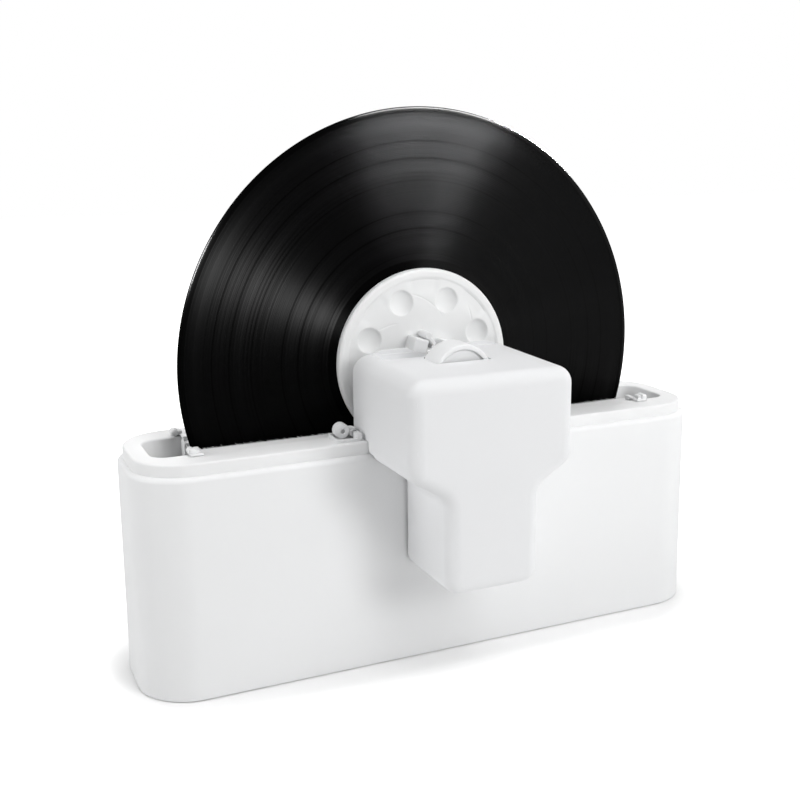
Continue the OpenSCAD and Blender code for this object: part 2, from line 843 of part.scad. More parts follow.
module idler_gear() {
    color(soft_white) forward(0, idler_z) difference() {
        union() {
            translate([0, 0, gear_back])
                gear(idler_small_teeth, output_module, gear_t, 90 + 180 / idler_small_teeth);
            translate([0, 0, gear_back + gear_t - eps])
                cylinder(r = idler_sleeve_r, h = large_gear_back - gear_back - gear_t + 2 * eps);
            translate([0, 0, large_gear_back]) gear(idler_large_teeth, motor_module, large_gear_t, -90);
        }
        cylinder(r = idler_pin_r + run_fit, h = 80);
    }
}

module idler_axle() {
    color(steel) rod(idler_pin_r, 26, front_plate_back + front_plate_t, 0, idler_z);
}

module motor_pinion() {
    color(steel) {
        forward(0, motor_z) translate([0, 0, large_gear_back - 0.2])
            gear(motor_teeth, motor_module, large_gear_t + 0.4, 90 + 180 / motor_teeth);
        rod(motor_shaft_r, large_gear_back, motor_shaft_front, 0, motor_z);
    }
}

// Spindle

module spindle_shaft() {
    color(steel) {
        rod(shaft_r, shaft_step, shaft_front);
        rod(stub_r, shaft_back, shaft_step + eps);
    }
}

module thumb_wheel() {
    web_front = wheel_front - wheel_dish;
    color(white) forward() rotate_extrude() polygon([
        [shaft_r, wheel_back], [7, wheel_back], [7, web_front - wheel_web_t],
        [wheel_r - wheel_rim_t, web_front - wheel_web_t], [wheel_r - wheel_rim_t, wheel_back],
        [wheel_r - 0.8, wheel_back], [wheel_r, wheel_back + 0.8],
        [wheel_r, wheel_front - 0.8], [wheel_r - 0.8, wheel_front],
        [wheel_r - wheel_rim_t, wheel_front], [wheel_r - wheel_rim_t, web_front], [shaft_r, web_front]]);
}

module front_bush() {
    color(steel) difference() {
        rod(bush_r, front_plate_back, front_plate_back + front_plate_t + 1);
        rod(shaft_r + run_fit, 60, 80);
    }
}

module rear_bush() {
    color(steel) difference() {
        union() {
            rod(bush_r, housing_back, housing_back + wall);
            rod(bush_flange_r, housing_back - bush_flange_t, housing_back);
        }
        rod(shaft_r + run_fit, 10, 30);
    }
}

// A square lobe of the hub, and the peg with a fin and a rib beside it
module hub_lobe() {
    translate([lobe_r * cos(lobe_angle), lobe_r * sin(lobe_angle), disc_face]) rotate([0, 0, lobe_lean])
        translate([-lobe_size[0] / 2, -lobe_size[1] / 2, 0])
            cube([lobe_size[0], lobe_size[1], lobe_front - disc_face]);
    translate([fin_peg[0], fin_peg[1], disc_face]) cylinder(r = fin_peg_r, h = hub_front - disc_face);
    fin = fin_foot - fin_peg;
    translate([fin_peg[0], fin_peg[1], disc_face]) rotate([0, 0, atan2(fin[1], fin[0])])
        translate([0, -fin_t / 2, 0]) cube([norm(fin), fin_t, hub_front - 1.5 - disc_face]);
    translate([0, 0, disc_face]) rotate([0, 0, atan2(fin_foot[1], fin_foot[0])])
        translate([hub_core_r - 2, -fin_t / 2, 0])
            cube([norm(fin_foot) - hub_core_r + 1.5, fin_t, fin_rib_front - disc_face]);
}

// The hub between the front disc and the drive unit
module drive_hub() {
    color(white) forward() difference() {
        union() {
            translate([0, 0, disc_face]) cylinder(r = hub_core_r, h = hub_front - disc_face);
            for (i = [0:lobe_count - 1]) rotate([0, 0, 360 / lobe_count * i]) hub_lobe();
        }
        cylinder(r = shaft_r, h = 40);
    }
}

// A label disc's section from its back to its face; the rim stands a little proud
module disc_section(bore, face) {
    back = record_t / 2 + disc_gap;
    polygon(concat(
        [[bore, back], [seal_in, back], [seal_in, back + seal_depth], [seal_out, back + seal_depth],
         [seal_out, back], [disc_r - 0.6, back], [disc_r, back + 0.6]],
        arc(disc_r - 2.4, face - 2.4, 2.4, 0, 90, 5),
        [[disc_r - 4.6, face], [disc_r - 5.4, face - disc_sunk], [bore, face - disc_sunk]]));
}

// Finger hollows and the shallow scoops between them
module disc_cuts(face) {
    for (i = [0:hollow_count - 1]) {
        rotate([0, 0, 360 / hollow_count * (i + 0.5)])
            translate([hollow_ring_r, 0, face - disc_sunk + hollow_rise]) sphere(r = hollow_r);
        rotate([0, 0, 360 / hollow_count * i]) translate([scoop_ring_r, 0, face - scoop_depth]) difference() {
            cylinder(r = scoop_r, h = 5);
            translate([-disc_r - 0.7, 0, -1]) difference() {
                cylinder(r = 90, h = 8);
                translate([5.2, 0, -1]) cylinder(r = disc_r - 5.6, h = 10);
            }
        }
    }
}

module front_label_disc() {
    color(white) forward() difference() {
        rotate_extrude() disc_section(shaft_r, disc_face);
        disc_cuts(disc_face);
    }
}

module label_seal() {
    back = record_t / 2;
    front = back + disc_gap + seal_depth - 0.05;
    rotate_extrude() polygon([
        [seal_in + 0.1, back], [seal_out - 0.1, back], [seal_out - 0.1, front], [seal_in + 0.1, front]]);
}

module front_label_seal() {
    color(grey) forward() label_seal();
}

module rear_label_disc() {
    color(white) forward() mirror([0, 0, 1]) difference() {
        rotate_extrude() disc_section(stub_r + run_fit, disc_rear_face);
        disc_cuts(disc_rear_face);
    }
}

module rear_label_seal() {
    color(grey) forward() mirror([0, 0, 1]) label_seal();
}

module clamp_nut() {
    color(white) forward() mirror([0, 0, 1]) difference() {
        union() {
            translate([0, 0, nut_back - 0.7]) cylinder(r = nut_neck_r, h = 3);
            translate([0, 0, nut_back + 2]) cylinder(r = nut_r, h = nut_l - 2);
            translate([0, 0, nut_back + nut_l - eps]) cylinder(r1 = nut_r, r2 = nut_tip_r, h = 2);
        }
        cylinder(r = stub_r + run_fit, h = 40);
        for (i = [0:nut_grips - 1]) {
            rotate([0, 0, 360 / nut_grips * i]) translate([nut_grip_x, 0, nut_back + 0.8])
                cylinder(r = nut_grip_r, h = 20);
        }
    }
}

module vinyl_record() {
    half = record_t / 2;
    sunk = half - 0.2;
    color(black) forward() rotate_extrude() polygon([
        [3.6, -half], [50.5, -half], [51.5, -sunk], [record_r - 4, -sunk], [record_r - 3, -half],
        [record_r - 0.7, -half + 0.1], [record_r, 0], [record_r - 0.7, half - 0.1],
        [record_r - 3, half], [record_r - 4, sunk], [51.5, sunk], [50.5, half], [3.6, half]]);
}

// Batteries

module battery_holder() {
    h = holder_top - holder_bottom;
    color(black) at_plane() difference() {
        translate([-holder_half, -bay_y - holder_half, holder_bottom])
            cube([2 * holder_half, 2 * holder_half, h]);
        translate([-holder_half + holder_wall, -bay_y - holder_half + holder_wall, holder_bottom - 1])
            cube([2 * (holder_half - holder_wall), 2 * (holder_half - holder_wall), h - holder_wall + 1]);
    }
}

module battery_cells() {
    color(grey) at_plane() for (sx = [-1, 1], sy = [-1, 1]) {
        translate([sx * cell_step, -bay_y + sy * cell_step, cell_z]) cylinder(r = cell_r, h = cell_l - 1);
        translate([sx * cell_step, -bay_y + sy * cell_step, cell_z]) cylinder(r = 2.7, h = cell_l);
    }
}

module upper_contacts() {
    color(steel) at_plane() for (sx = [-1, 1]) {
        translate([sx * cell_step - contact_w / 2, -bay_y - contact_l / 2, cell_z + cell_l])
            cube([contact_w, contact_l, contact_t]);
    }
}

module door_contacts() {
    color(steel) at_plane() for (sx = [-1, 1]) {
        translate([sx * cell_step - contact_w / 2, -bay_y - contact_l / 2, cell_z - contact_t])
            cube([contact_w, contact_l, contact_t]);
    }
}

module battery_door() {
    color(white) at_plane() difference() {
        union() {
            translate([-door_half_w, -door_front, body_bottom])
                cube([2 * door_half_w, door_front - door_back, door_t]);
            translate([-hinge_mid + gap, -door_back - 0.2, body_bottom])
                cube([2 * (hinge_mid - gap), door_back + 0.2 - tongue_back, door_t]);
            translate([-hinge_mid + gap, -hinge_y, hinge_z]) rotate([0, 90, 0])
                cylinder(r = hinge_r, h = 2 * (hinge_mid - gap));
            for (sx = [-1, 1]) {
                translate([sx * cell_step - contact_w / 2, -bay_y - contact_l / 2, body_bottom + 1])
                    cube([contact_w, contact_l, cell_z - contact_t - body_bottom - 1]);
            }
        }
        translate([-20, -hinge_y, hinge_z]) rotate([0, 90, 0]) cylinder(r = hinge_pin_r + run_fit, h = 40);
    }
}

module door_hinge_pin() {
    color(steel) at_plane() translate([-hinge_half_l, -hinge_y, hinge_z]) rotate([0, 90, 0])
        cylinder(r = hinge_pin_r, h = 2 * hinge_half_l);
}

// Switch

module power_button() {
    color(soft_white) at_plane() translate([0, -button_y, button_z]) rotate([0, 90, 0]) {
        translate([0, 0, button_in]) cylinder(r = button_r, h = button_out - button_in - 0.8);
        translate([0, 0, button_in]) cylinder(r = button_r - 0.8, h = button_out - button_in);
        translate([0, 0, button_in]) cylinder(r = button_flange_r, h = button_flange_t);
    }
}

module circuit_board() {
    color([0.1, 0.35, 0.2]) at_plane() translate([board_x, -board_y[1], board_z[0]])
        cube([board_t, board_y[1] - board_y[0], board_z[1] - board_z[0]]);
}

module button_switch() {
    color(black) at_plane() translate([board_x + board_t, -button_y, button_z]) {
        translate([0, -switch_size[1] / 2, -switch_size[2] / 2]) cube(switch_size);
        rotate([0, 90, 0]) cylinder(r = 1.6, h = switch_size[0] + 0.7);
    }
}

casing();
trough();
rubber_feet();
basin_screws();
front_brush_bar();
rear_brush_bar();
front_left_bristles();
front_right_bristles();
rear_left_bristles();
rear_right_bristles();
left_roller_bracket();
right_roller_bracket();
left_guide_roller();
right_guide_roller();
left_small_roller();
right_small_roller();
drive_housing();
back_cover();
cover_screws();
gearbox_frame();
frame_screws();
gear_motor();
motor_pinion();
idler_gear();
idler_axle();
spindle_shaft();
thumb_wheel();
output_gear();
front_bush();
rear_bush();
drive_hub();
front_label_disc();
front_label_seal();
rear_label_disc();
rear_label_seal();
clamp_nut();
vinyl_record();
battery_holder();
battery_cells();
upper_contacts();
battery_door();
door_contacts();
door_hinge_pin();
power_button();
circuit_board();
button_switch();
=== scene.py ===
import json
import math

import bmesh
import bpy
import numpy as np
from mathutils import Matrix, Vector

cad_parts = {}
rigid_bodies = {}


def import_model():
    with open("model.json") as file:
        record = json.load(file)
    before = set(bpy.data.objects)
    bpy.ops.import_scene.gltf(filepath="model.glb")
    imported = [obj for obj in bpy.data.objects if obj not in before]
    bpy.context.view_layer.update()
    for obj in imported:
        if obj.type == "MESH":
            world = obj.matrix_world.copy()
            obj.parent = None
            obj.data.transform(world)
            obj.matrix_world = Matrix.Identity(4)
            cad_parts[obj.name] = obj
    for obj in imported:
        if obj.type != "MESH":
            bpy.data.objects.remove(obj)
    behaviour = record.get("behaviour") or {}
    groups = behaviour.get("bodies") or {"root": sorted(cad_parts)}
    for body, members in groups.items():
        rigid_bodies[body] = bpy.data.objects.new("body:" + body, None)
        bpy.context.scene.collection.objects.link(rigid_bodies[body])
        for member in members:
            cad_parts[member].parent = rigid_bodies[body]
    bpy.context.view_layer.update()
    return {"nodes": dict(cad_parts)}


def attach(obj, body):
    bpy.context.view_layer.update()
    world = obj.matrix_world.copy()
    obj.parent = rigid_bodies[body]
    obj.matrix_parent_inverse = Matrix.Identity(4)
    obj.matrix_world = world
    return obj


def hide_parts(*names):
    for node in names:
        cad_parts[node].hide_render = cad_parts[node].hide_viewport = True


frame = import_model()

mm = 0.001

# The record's plane and the spindle's height, which most pieces are drawn round
place = {"planeY": 27.975, "axleZ": 175.7}


# camera, light and floor
cameraSetup = {"spot": (-275.715, -611.461, 310.561), "right": (0.91109391, -0.41214093, -0.0069099),
               "up": (0.10231216, 0.20987257, 0.9723609), "lens": 49.703, "sensor": 36.0,
               "shiftX": -0.02553, "shiftY": -0.00103, "near": 0.01, "far": 20.0}


def addObject(name, data):
    thing = bpy.data.objects.new(name, data)
    bpy.context.scene.collection.objects.link(thing)
    return thing


def addCamera(setup):
    data = bpy.data.cameras.new("camera")
    data.sensor_width = setup["sensor"]
    data.lens = setup["lens"]
    data.shift_x = setup["shiftX"]
    data.shift_y = setup["shiftY"]
    data.clip_start = setup["near"]
    data.clip_end = setup["far"]
    cam = addObject("camera", data)
    right = Vector(setup["right"]).normalized()
    up = Vector(setup["up"]).normalized()
    turn = Matrix((right, up, right.cross(up))).transposed()
    spot = Vector(setup["spot"]) + Vector((0, place["planeY"], 0))
    cam.matrix_world = Matrix.Translation(spot * mm) @ turn.to_4x4()
    bpy.context.scene.camera = cam


# The room's lamps share their aim, and the world adds a little light from every side
roomLight = {"strength": 0.1, "aim": (0.0, 0.0, 0.12)}
lamps = [
    {"name": "frontLight", "spot": (0.45, -1.35, 0.95), "size": 0.6, "power": 4.6},
    {"name": "lowLight", "spot": (0.7, -1.3, 0.6), "size": 0.5, "power": 5.9},
    {"name": "highLight", "spot": (0.25, -1.1, 1.4), "size": 0.5, "power": 3.2},
    {"name": "keyLight", "spot": (0.75, -0.85, 1.25), "size": 0.9, "power": 3.0},
    {"name": "rightLight", "spot": (1.5, 0.1, 0.75), "size": 0.9, "power": 4.0},
    {"name": "leftLight", "spot": (-1.5, 0.2, 0.9), "size": 0.9, "power": 12.7},
    {"name": "rearLight", "spot": (0.5, 1.6, 0.7), "size": 1.2, "power": 5.5},
    {"name": "topLight", "spot": (0.0, 0.1, 1.9), "size": 1.2, "power": 11.2},
]


def addLamp(setup, aim):
    data = bpy.data.lights.new(setup["name"], "AREA")
    data.shape = "SQUARE"
    data.size = setup["size"]
    data.energy = setup["power"]
    data.spread = setup.get("spread", math.pi)
    lamp = addObject(setup["name"], data)
    lamp.location = setup["spot"]
    sight = Vector(setup.get("aim", aim)) - Vector(setup["spot"])
    lamp.rotation_euler = sight.to_track_quat("-Z", "Y").to_euler()
    return lamp


# A socket given for an input is linked, and any other value is written into the input
def setInputs(tree, node, inputs):
    for key, value in inputs.items():
        if isinstance(value, bpy.types.NodeSocket):
            tree.links.new(value, node.inputs[key])
        else:
            node.inputs[key].default_value = value


def addNode(tree, kind, inputs, **settings):
    node = tree.nodes.new(kind)
    for name, value in settings.items():
        setattr(node, name, value)
    setInputs(tree, node, inputs)
    return node


def addMath(tree, operation, *values):
    return addNode(tree, "ShaderNodeMath", dict(enumerate(values)), operation=operation).outputs[0]


def whiteWhenSeen(tree):
    path = addNode(tree, "ShaderNodeLightPath", {}).outputs
    seen = addMath(tree, "MAXIMUM", path["Is Camera Ray"], path["Is Glossy Ray"])
    return addMath(tree, "MAXIMUM", seen, path["Is Transmission Ray"])


def addRoom(setup):
    world = bpy.data.worlds.new("softRoom")
    bpy.context.scene.world = world
    world.use_nodes = True
    tree = world.node_tree
    tree.nodes.clear()
    # a soft light, and white where it is seen
    mix = addNode(tree, "ShaderNodeMixShader", {0: whiteWhenSeen(tree)})
    for slot, strength in ((1, setup["strength"]), (2, 1.0)):
        light = addNode(tree, "ShaderNodeBackground", {"Color": (1, 1, 1, 1), "Strength": strength})
        setInputs(tree, mix, {slot: light.outputs[0]})
    addNode(tree, "ShaderNodeOutputWorld", {0: mix.outputs[0]})


# the glow beside the bath's foot is kept low, a painted shade round the foot
floorSetup = {"size": 8.0, "colour": (0.9, 0.9, 0.9), "footHalfX": 0.182, "footHalfY": 0.055, "fade": 0.055,
              "footPaintedShadeGlow": 0.03, "farGlow": 1.0}


# The floor turns white with the distance from the bath's foot; beside the foot its glow stays low, a painted
# shade round the foot in which the bath's real shadow also shows
def floorGlowWithPaintedShade(tree, setup):
    away = addNode(tree, "ShaderNodeTexCoord", {}).outputs["Object"]
    straight = setup["footHalfX"] - setup["footHalfY"]
    for operation, value in (("SUBTRACT", (0, place["planeY"] * mm, 0)), ("ABSOLUTE", (0, 0, 0)),
                             ("SUBTRACT", (straight, 0, 0)), ("MAXIMUM", (0, 0, 0)), ("LENGTH", (0, 0, 0))):
        step = addNode(tree, "ShaderNodeVectorMath", {0: away, 1: value}, operation=operation)
        away = step.outputs["Value"] if operation == "LENGTH" else step.outputs["Vector"]
    near, far = setup["footHalfY"], setup["footHalfY"] + setup["fade"]
    inputs = {"Value": away, "From Min": near, "From Max": far,
              "To Min": setup["footPaintedShadeGlow"], "To Max": setup["farGlow"]}
    return addNode(tree, "ShaderNodeMapRange", inputs, interpolation_type="SMOOTHSTEP").outputs["Result"]


def addFloor(setup):
    half = setup["size"] / 2
    mesh = bpy.data.meshes.new("floor")
    corners = [(-half, -half, 0), (half, -half, 0), (half, half, 0), (-half, half, 0)]
    mesh.from_pydata(corners, [], [(0, 1, 2, 3)])
    mat = bpy.data.materials.new("paleFloor")
    mat.use_nodes = True
    tree = mat.node_tree
    tree.nodes.clear()
    lit = addNode(tree, "ShaderNodeBsdfDiffuse", {"Color": (*setup["colour"], 1)}).outputs[0]
    glow = addNode(tree, "ShaderNodeEmission", {"Strength": floorGlowWithPaintedShade(tree, setup)}).outputs[0]
    both = addNode(tree, "ShaderNodeAddShader", {0: lit, 1: glow}).outputs[0]
    seen = addNode(tree, "ShaderNodeLightPath", {}).outputs["Is Camera Ray"]
    mix = addNode(tree, "ShaderNodeMixShader", {0: seen, 1: lit, 2: both})
    addNode(tree, "ShaderNodeOutputMaterial", {0: mix.outputs[0]})
    mesh.materials.append(mat)
    addObject("floor", mesh)


bpy.context.scene.view_settings.view_transform = "Standard"
addCamera(cameraSetup)
roomLamps = [addLamp(lampSetup, roomLight["aim"]) for lampSetup in lamps]
addRoom(roomLight)
addFloor(floorSetup)
print("camera, light and floor are set")


# materials
def newMaterial(name):
    mat = bpy.data.materials.new(name)
    mat.use_nodes = True
    tree = mat.node_tree
    coords = addNode(tree, "ShaderNodeTexCoord", {}).outputs["Object"]
    return mat, tree, tree.nodes["Principled BSDF"], coords


def addNoise(tree, coords, scale, detail, stretch=(1, 1, 1)):
    mapping = addNode(tree, "ShaderNodeMapping", {"Vector": coords, "Scale": stretch}).outputs[0]
    noise = addNode(tree, "ShaderNodeTexNoise", {"Vector": mapping, "Scale": scale, "Detail": detail})
    return noise.outputs["Fac"]


def addRange(tree, value, low, high):
    inputs = {"Value": value, "To Min": low, "To Max": high}
    return addNode(tree, "ShaderNodeMapRange", inputs).outputs["Result"]


def mixColours(tree, value, first, second):
    inputs = {"Factor": value, "A": (*first, 1), "B": (*second, 1)}
    return addNode(tree, "ShaderNodeMix", inputs, data_type="RGBA").outputs["Result"]


def addBump(tree, height, strength, distance):
    inputs = {"Height": height, "Strength": strength, "Distance": distance}
    return addNode(tree, "ShaderNodeBump", inputs).outputs["Normal"]


# A moulded plastic: its tone drifts a little, its sheen varies, and its skin has a faint spark grain
plastic = {"driftScale": 9.0, "wearScale": 60.0, "sheenSpread": 0.07, "grainDepth": 0.00006, "ior": 1.5}


def mouldedPlastic(name, light, dark, rough, grain=0.10, grainScale=2600):
    mat, tree, shader, coords = newMaterial(name)
    drift = addNoise(tree, coords, plastic["driftScale"], 2.0)
    wear = addNoise(tree, coords, plastic["wearScale"], 4.0)
    skin = addNoise(tree, coords, grainScale, 2.0)
    setInputs(tree, shader, {
        "Base Color": mixColours(tree, drift, light, dark), "IOR": plastic["ior"],
        "Roughness": addRange(tree, wear, rough - plastic["sheenSpread"], rough + plastic["sheenSpread"]),
        "Normal": addBump(tree, skin, grain, plastic["grainDepth"])})
    return mat


# Metal with fine brush lines along one direction
metal = {"lineScale": 120.0, "brighter": 0.08, "duller": 0.12, "lineBump": 0.15, "lineDepth": 0.00004}


def brushedMetal(name, colour, shade, rough, stretch=(40, 1, 40)):
    mat, tree, shader, coords = newMaterial(name)
    lines = addNoise(tree, coords, metal["lineScale"], 3.0, stretch)
    setInputs(tree, shader, {
        "Metallic": 1.0, "Base Color": mixColours(tree, lines, colour, shade),
        "Roughness": addRange(tree, lines, rough - metal["brighter"], rough + metal["duller"]),
        "Normal": addBump(tree, lines, metal["lineBump"], metal["lineDepth"])})
    return mat


bathWhite = mouldedPlastic("bathWhite", (0.865, 0.87, 0.875), (0.83, 0.835, 0.84), 0.52, 0.06)
troughWhite = mouldedPlastic("troughWhite", (0.87, 0.873, 0.876), (0.84, 0.843, 0.846), 0.5, 0.06)
housingWhite = mouldedPlastic("housingWhite", (0.795, 0.80, 0.81), (0.765, 0.77, 0.78), 0.62, 0.08)
partWhite = mouldedPlastic("partWhite", (0.86, 0.865, 0.87), (0.81, 0.815, 0.82), 0.45, 0.08)
discWhite = mouldedPlastic("discWhite", (0.88, 0.885, 0.885), (0.84, 0.845, 0.845), 0.5, 0.06)
bristleWhite = mouldedPlastic("bristleWhite", (0.82, 0.83, 0.83), (0.74, 0.75, 0.75), 0.55, 0.05, 900)
frameGrey = mouldedPlastic("frameGrey", (0.20, 0.205, 0.215), (0.16, 0.165, 0.175), 0.5)
gearWhite = mouldedPlastic("gearWhite", (0.74, 0.74, 0.70), (0.68, 0.68, 0.63), 0.42)
holderBlack = mouldedPlastic("holderBlack", (0.02, 0.02, 0.02), (0.035, 0.035, 0.035), 0.5)
cellWrap = mouldedPlastic("cellWrap", (0.05, 0.055, 0.065), (0.04, 0.045, 0.05), 0.28, 0.03)
boardGreen = mouldedPlastic("boardGreen", (0.03, 0.12, 0.05), (0.02, 0.09, 0.04), 0.35, 0.05)
switchBlack = mouldedPlastic("switchBlack", (0.02, 0.02, 0.02), (0.03, 0.03, 0.03), 0.4)
footRubber = mouldedPlastic("footRubber", (0.045, 0.045, 0.048), (0.07, 0.07, 0.073), 0.8, 0.35, 1400)
sealRubber = mouldedPlastic("sealRubber", (0.30, 0.31, 0.33), (0.25, 0.26, 0.28), 0.75, 0.25, 1400)
steel = brushedMetal("steel", (0.60, 0.61, 0.63), (0.50, 0.51, 0.53), 0.28)
motorSteel = brushedMetal("motorSteel", (0.52, 0.53, 0.54), (0.44, 0.45, 0.46), 0.36, (2, 60, 2))
bushBrass = brushedMetal("bushBrass", (0.66, 0.48, 0.22), (0.55, 0.39, 0.17), 0.32)


# The record's vinyl: grooves between two radii, with plain rings between the tracks and a plain edge band;
# its base colour is lighter on the grooved rings where the ring noise is high, a painted sheen of the
# grooves
vinylSetup = {"inner": 61.5, "innerSoft": 0.004, "outer": 146.9, "outerSoft": 0.003, "rim": 150.8,
              "gaps": (79.8, 89.8, 108.2, 121.4, 131.2), "gapHalf": 0.55, "gapFlat": 0.4, "gapLevel": 0.1,
              "musicScale": 900.0, "passageScale": 160.0, "ripple": 6400.0, "bump": 0.2, "bumpDepth": 4e-5,
              # the dark and light base colours; the light one is a painted sheen on the loud grooved rings
              "dark": (0.0008, 0.0008, 0.00085), "light": (0.0034, 0.0035, 0.0038), "paintedSheenTop": 3.0,
              "passageStreak": 0.14, "musicStreak": 0.2, "grooved": 0.355, "plain": 0.22,
              "specular": 0.018, "across": 0.93, "turn": 0.25}


def ringField(tree, coords):
    split = addNode(tree, "ShaderNodeSeparateXYZ", {0: coords}).outputs
    height = addMath(tree, "SUBTRACT", split["Z"], place["axleZ"] * mm)
    both = addNode(tree, "ShaderNodeCombineXYZ", {"X": split["X"], "Y": height}).outputs[0]
    return addNode(tree, "ShaderNodeVectorMath", {0: both}, operation="LENGTH").outputs["Value"]


# 1 where the record is grooved, lower on the plain rings, 0 inside and outside the grooves
def grooveBands(tree, radius, v):
    rim, half, level = v["rim"], v["gapHalf"], v["gapLevel"]
    flat = half * v["gapFlat"]
    stops = [(0.0, 0.0), (v["inner"] / rim - v["innerSoft"], 0.0), (v["inner"] / rim, 1.0)]
    for gapR in v["gaps"]:
        stops += [((gapR - half) / rim, 1.0), ((gapR - flat) / rim, level), ((gapR + flat) / rim, level),
                  ((gapR + half) / rim, 1.0)]
    stops += [(v["outer"] / rim, 1.0), (v["outer"] / rim + v["outerSoft"], 0.0)]
    bands = addNode(tree, "ShaderNodeValToRGB", {"Fac": addMath(tree, "DIVIDE", radius, rim * mm)})
    ramp = bands.color_ramp
    while len(ramp.elements) < len(stops):
        ramp.elements.new(0.5)
    for element, (spot, tone) in zip(ramp.elements, stops):
        element.position = spot
        element.color = (tone, tone, tone, 1)
    return bands.outputs["Color"]


def ringNoise(tree, radius, scale, detail):
    along = addNode(tree, "ShaderNodeCombineXYZ", {"X": radius}).outputs[0]
    noise = addNode(tree, "ShaderNodeTexNoise", {"Vector": along, "Scale": scale, "Detail": detail})
    return noise.outputs["Fac"]


def vinylMaterial(v):
    mat, tree, shader, coords = newMaterial("recordVinyl")
    radius = ringField(tree, coords)
    grooved = grooveBands(tree, radius, v)
    music = ringNoise(tree, radius, v["musicScale"], 4.0)
    passages = ringNoise(tree, radius, v["passageScale"], 3.0)
    ripple = addMath(tree, "SINE", addMath(tree, "MULTIPLY", radius, v["ripple"]))
    cut = addMath(tree, "MULTIPLY_ADD", ripple, grooved, music)
    # painted sheen: the base colour turns lighter on the grooved rings where the ring noise is high,
    # standing in for the grooves' sheen streaks
    paintedGrooveSheen = addMath(tree, "MULTIPLY", addMath(tree, "MULTIPLY", music, passages), grooved)
    tone = addRange(tree, paintedGrooveSheen, 0.0, v["paintedSheenTop"])
    streaks = addMath(tree, "ADD", addRange(tree, passages, -v["passageStreak"], v["passageStreak"]),
                      addRange(tree, music, -v["musicStreak"], v["musicStreak"]))
    sheen = addRange(tree, grooved, v["plain"], v["grooved"])
    tangent = addNode(tree, "ShaderNodeTangent", {}, direction_type="RADIAL", axis="Y")
    setInputs(tree, shader, {
        "Base Color": mixColours(tree, tone, v["dark"], v["light"]),
        "Roughness": addMath(tree, "MULTIPLY_ADD", streaks, grooved, sheen),
        "Normal": addBump(tree, cut, v["bump"], v["bumpDepth"]), "Tangent": tangent.outputs[0],
        "Specular IOR Level": v["specular"], "Anisotropic": v["across"], "Anisotropic Rotation": v["turn"]})
    return mat


recordVinyl = vinylMaterial(vinylSetup)

nodeFinish = (
    (bathWhite, "casing"), (troughWhite, "trough"), (footRubber, "rubber_feet"),
    (recordVinyl, "vinyl_record"), (bristleWhite, "front_left_bristles", "front_right_bristles",
                                    "rear_left_bristles", "rear_right_bristles"),
    (partWhite, "front_brush_bar", "rear_brush_bar", "left_roller_bracket", "right_roller_bracket",
     "left_guide_roller", "right_guide_roller", "left_small_roller", "right_small_roller", "thumb_wheel",
     "drive_hub", "clamp_nut", "power_button"),
    (housingWhite, "drive_housing", "back_cover", "battery_door"), (motorSteel, "gear_motor"),
    (steel, "basin_screws", "cover_screws", "frame_screws", "motor_pinion", "idler_axle", "spindle_shaft",
     "upper_contacts", "door_contacts", "door_hinge_pin"),
    (frameGrey, "gearbox_frame", "output_gear"), (gearWhite, "idler_gear"),
    (bushBrass, "front_bush", "rear_bush"), (discWhite, "front_label_disc", "rear_label_disc"),
    (sealRubber, "front_label_seal", "rear_label_seal"), (holderBlack, "battery_holder"),
    (cellWrap, "battery_cells"), (boardGreen, "circuit_board"), (switchBlack, "button_switch"))
for finish, *nodeNames in nodeFinish:
    for nodeName in nodeNames:
        for materialSlot in frame["nodes"][nodeName].material_slots:
            materialSlot.material = finish
print("materials are on every CAD node")


# mesh helpers; points are in millimetres, with Y measured from the record's plane
mergeGap = 1e-6


def makeMesh(name, points, faces, material, sharp=32):
    pts = np.asarray(points, float) * mm
    pts[:, 1] += place["planeY"] * mm
    mesh = bpy.data.meshes.new(name)
    mesh.from_pydata(pts.tolist(), [], faces)
    form = bmesh.new()
    form.from_mesh(mesh)
    bmesh.ops.remove_doubles(form, verts=form.verts, dist=mergeGap)
    bmesh.ops.recalc_face_normals(form, faces=form.faces)
    form.to_mesh(mesh)
    form.free()
    mesh.materials.append(material)
    piece = addObject(name, mesh)
    softenByAngle(piece, sharp)
    return piece


def softenByAngle(piece, sharp):
    piece.data.shade_smooth()
    piece.data.set_sharp_from_angle(angle=math.radians(sharp))


# Large flat faces keep their own normal, so that a hole in one leaves no shading round it
def evenNormals(piece):
    even = piece.modifiers.new("evenNormals", "WEIGHTED_NORMAL")
    even.keep_sharp = True
    even.weight = 80
    applyModifiers(piece)


def applyModifiers(piece):
    mesh = bpy.data.meshes.new_from_object(piece.evaluated_get(bpy.context.evaluated_depsgraph_get()))
    piece.modifiers.clear()
    old = piece.data
    piece.data = mesh
    mesh.name = piece.name
    bpy.data.meshes.remove(old)


def roundedLoop(halfLength, halfDepth, radius, z, steps):
    loop = []
    for corner, (sx, sy) in enumerate(((1, 1), (-1, 1), (-1, -1), (1, -1))):
        for i in range(steps + 1):
            a = math.radians(90 * corner + 90 * i / steps)
            loop.append((sx * (halfLength - radius) + radius * math.cos(a),
                         sy * (halfDepth - radius) + radius * math.sin(a), z))
    return loop


# Joins loops of equal length into a skin; a ring closes on its first loop, and caps fill the two ends
def skinLoops(loops, ring=False, caps=False):
    n = len(loops[0])
    points = [p for loop in loops for p in loop]
    faces = []
    last = len(loops) if ring else len(loops) - 1
    for s in range(last):
        t = (s + 1) % len(loops)
        for i in range(n):
            j = (i + 1) % n
            faces.append((s * n + i, s * n + j, t * n + j, t * n + i))
    if caps:
        faces.append(tuple(range(n))[::-1])
        faces.append(tuple(range((len(loops) - 1) * n, len(loops) * n)))
    return points, faces


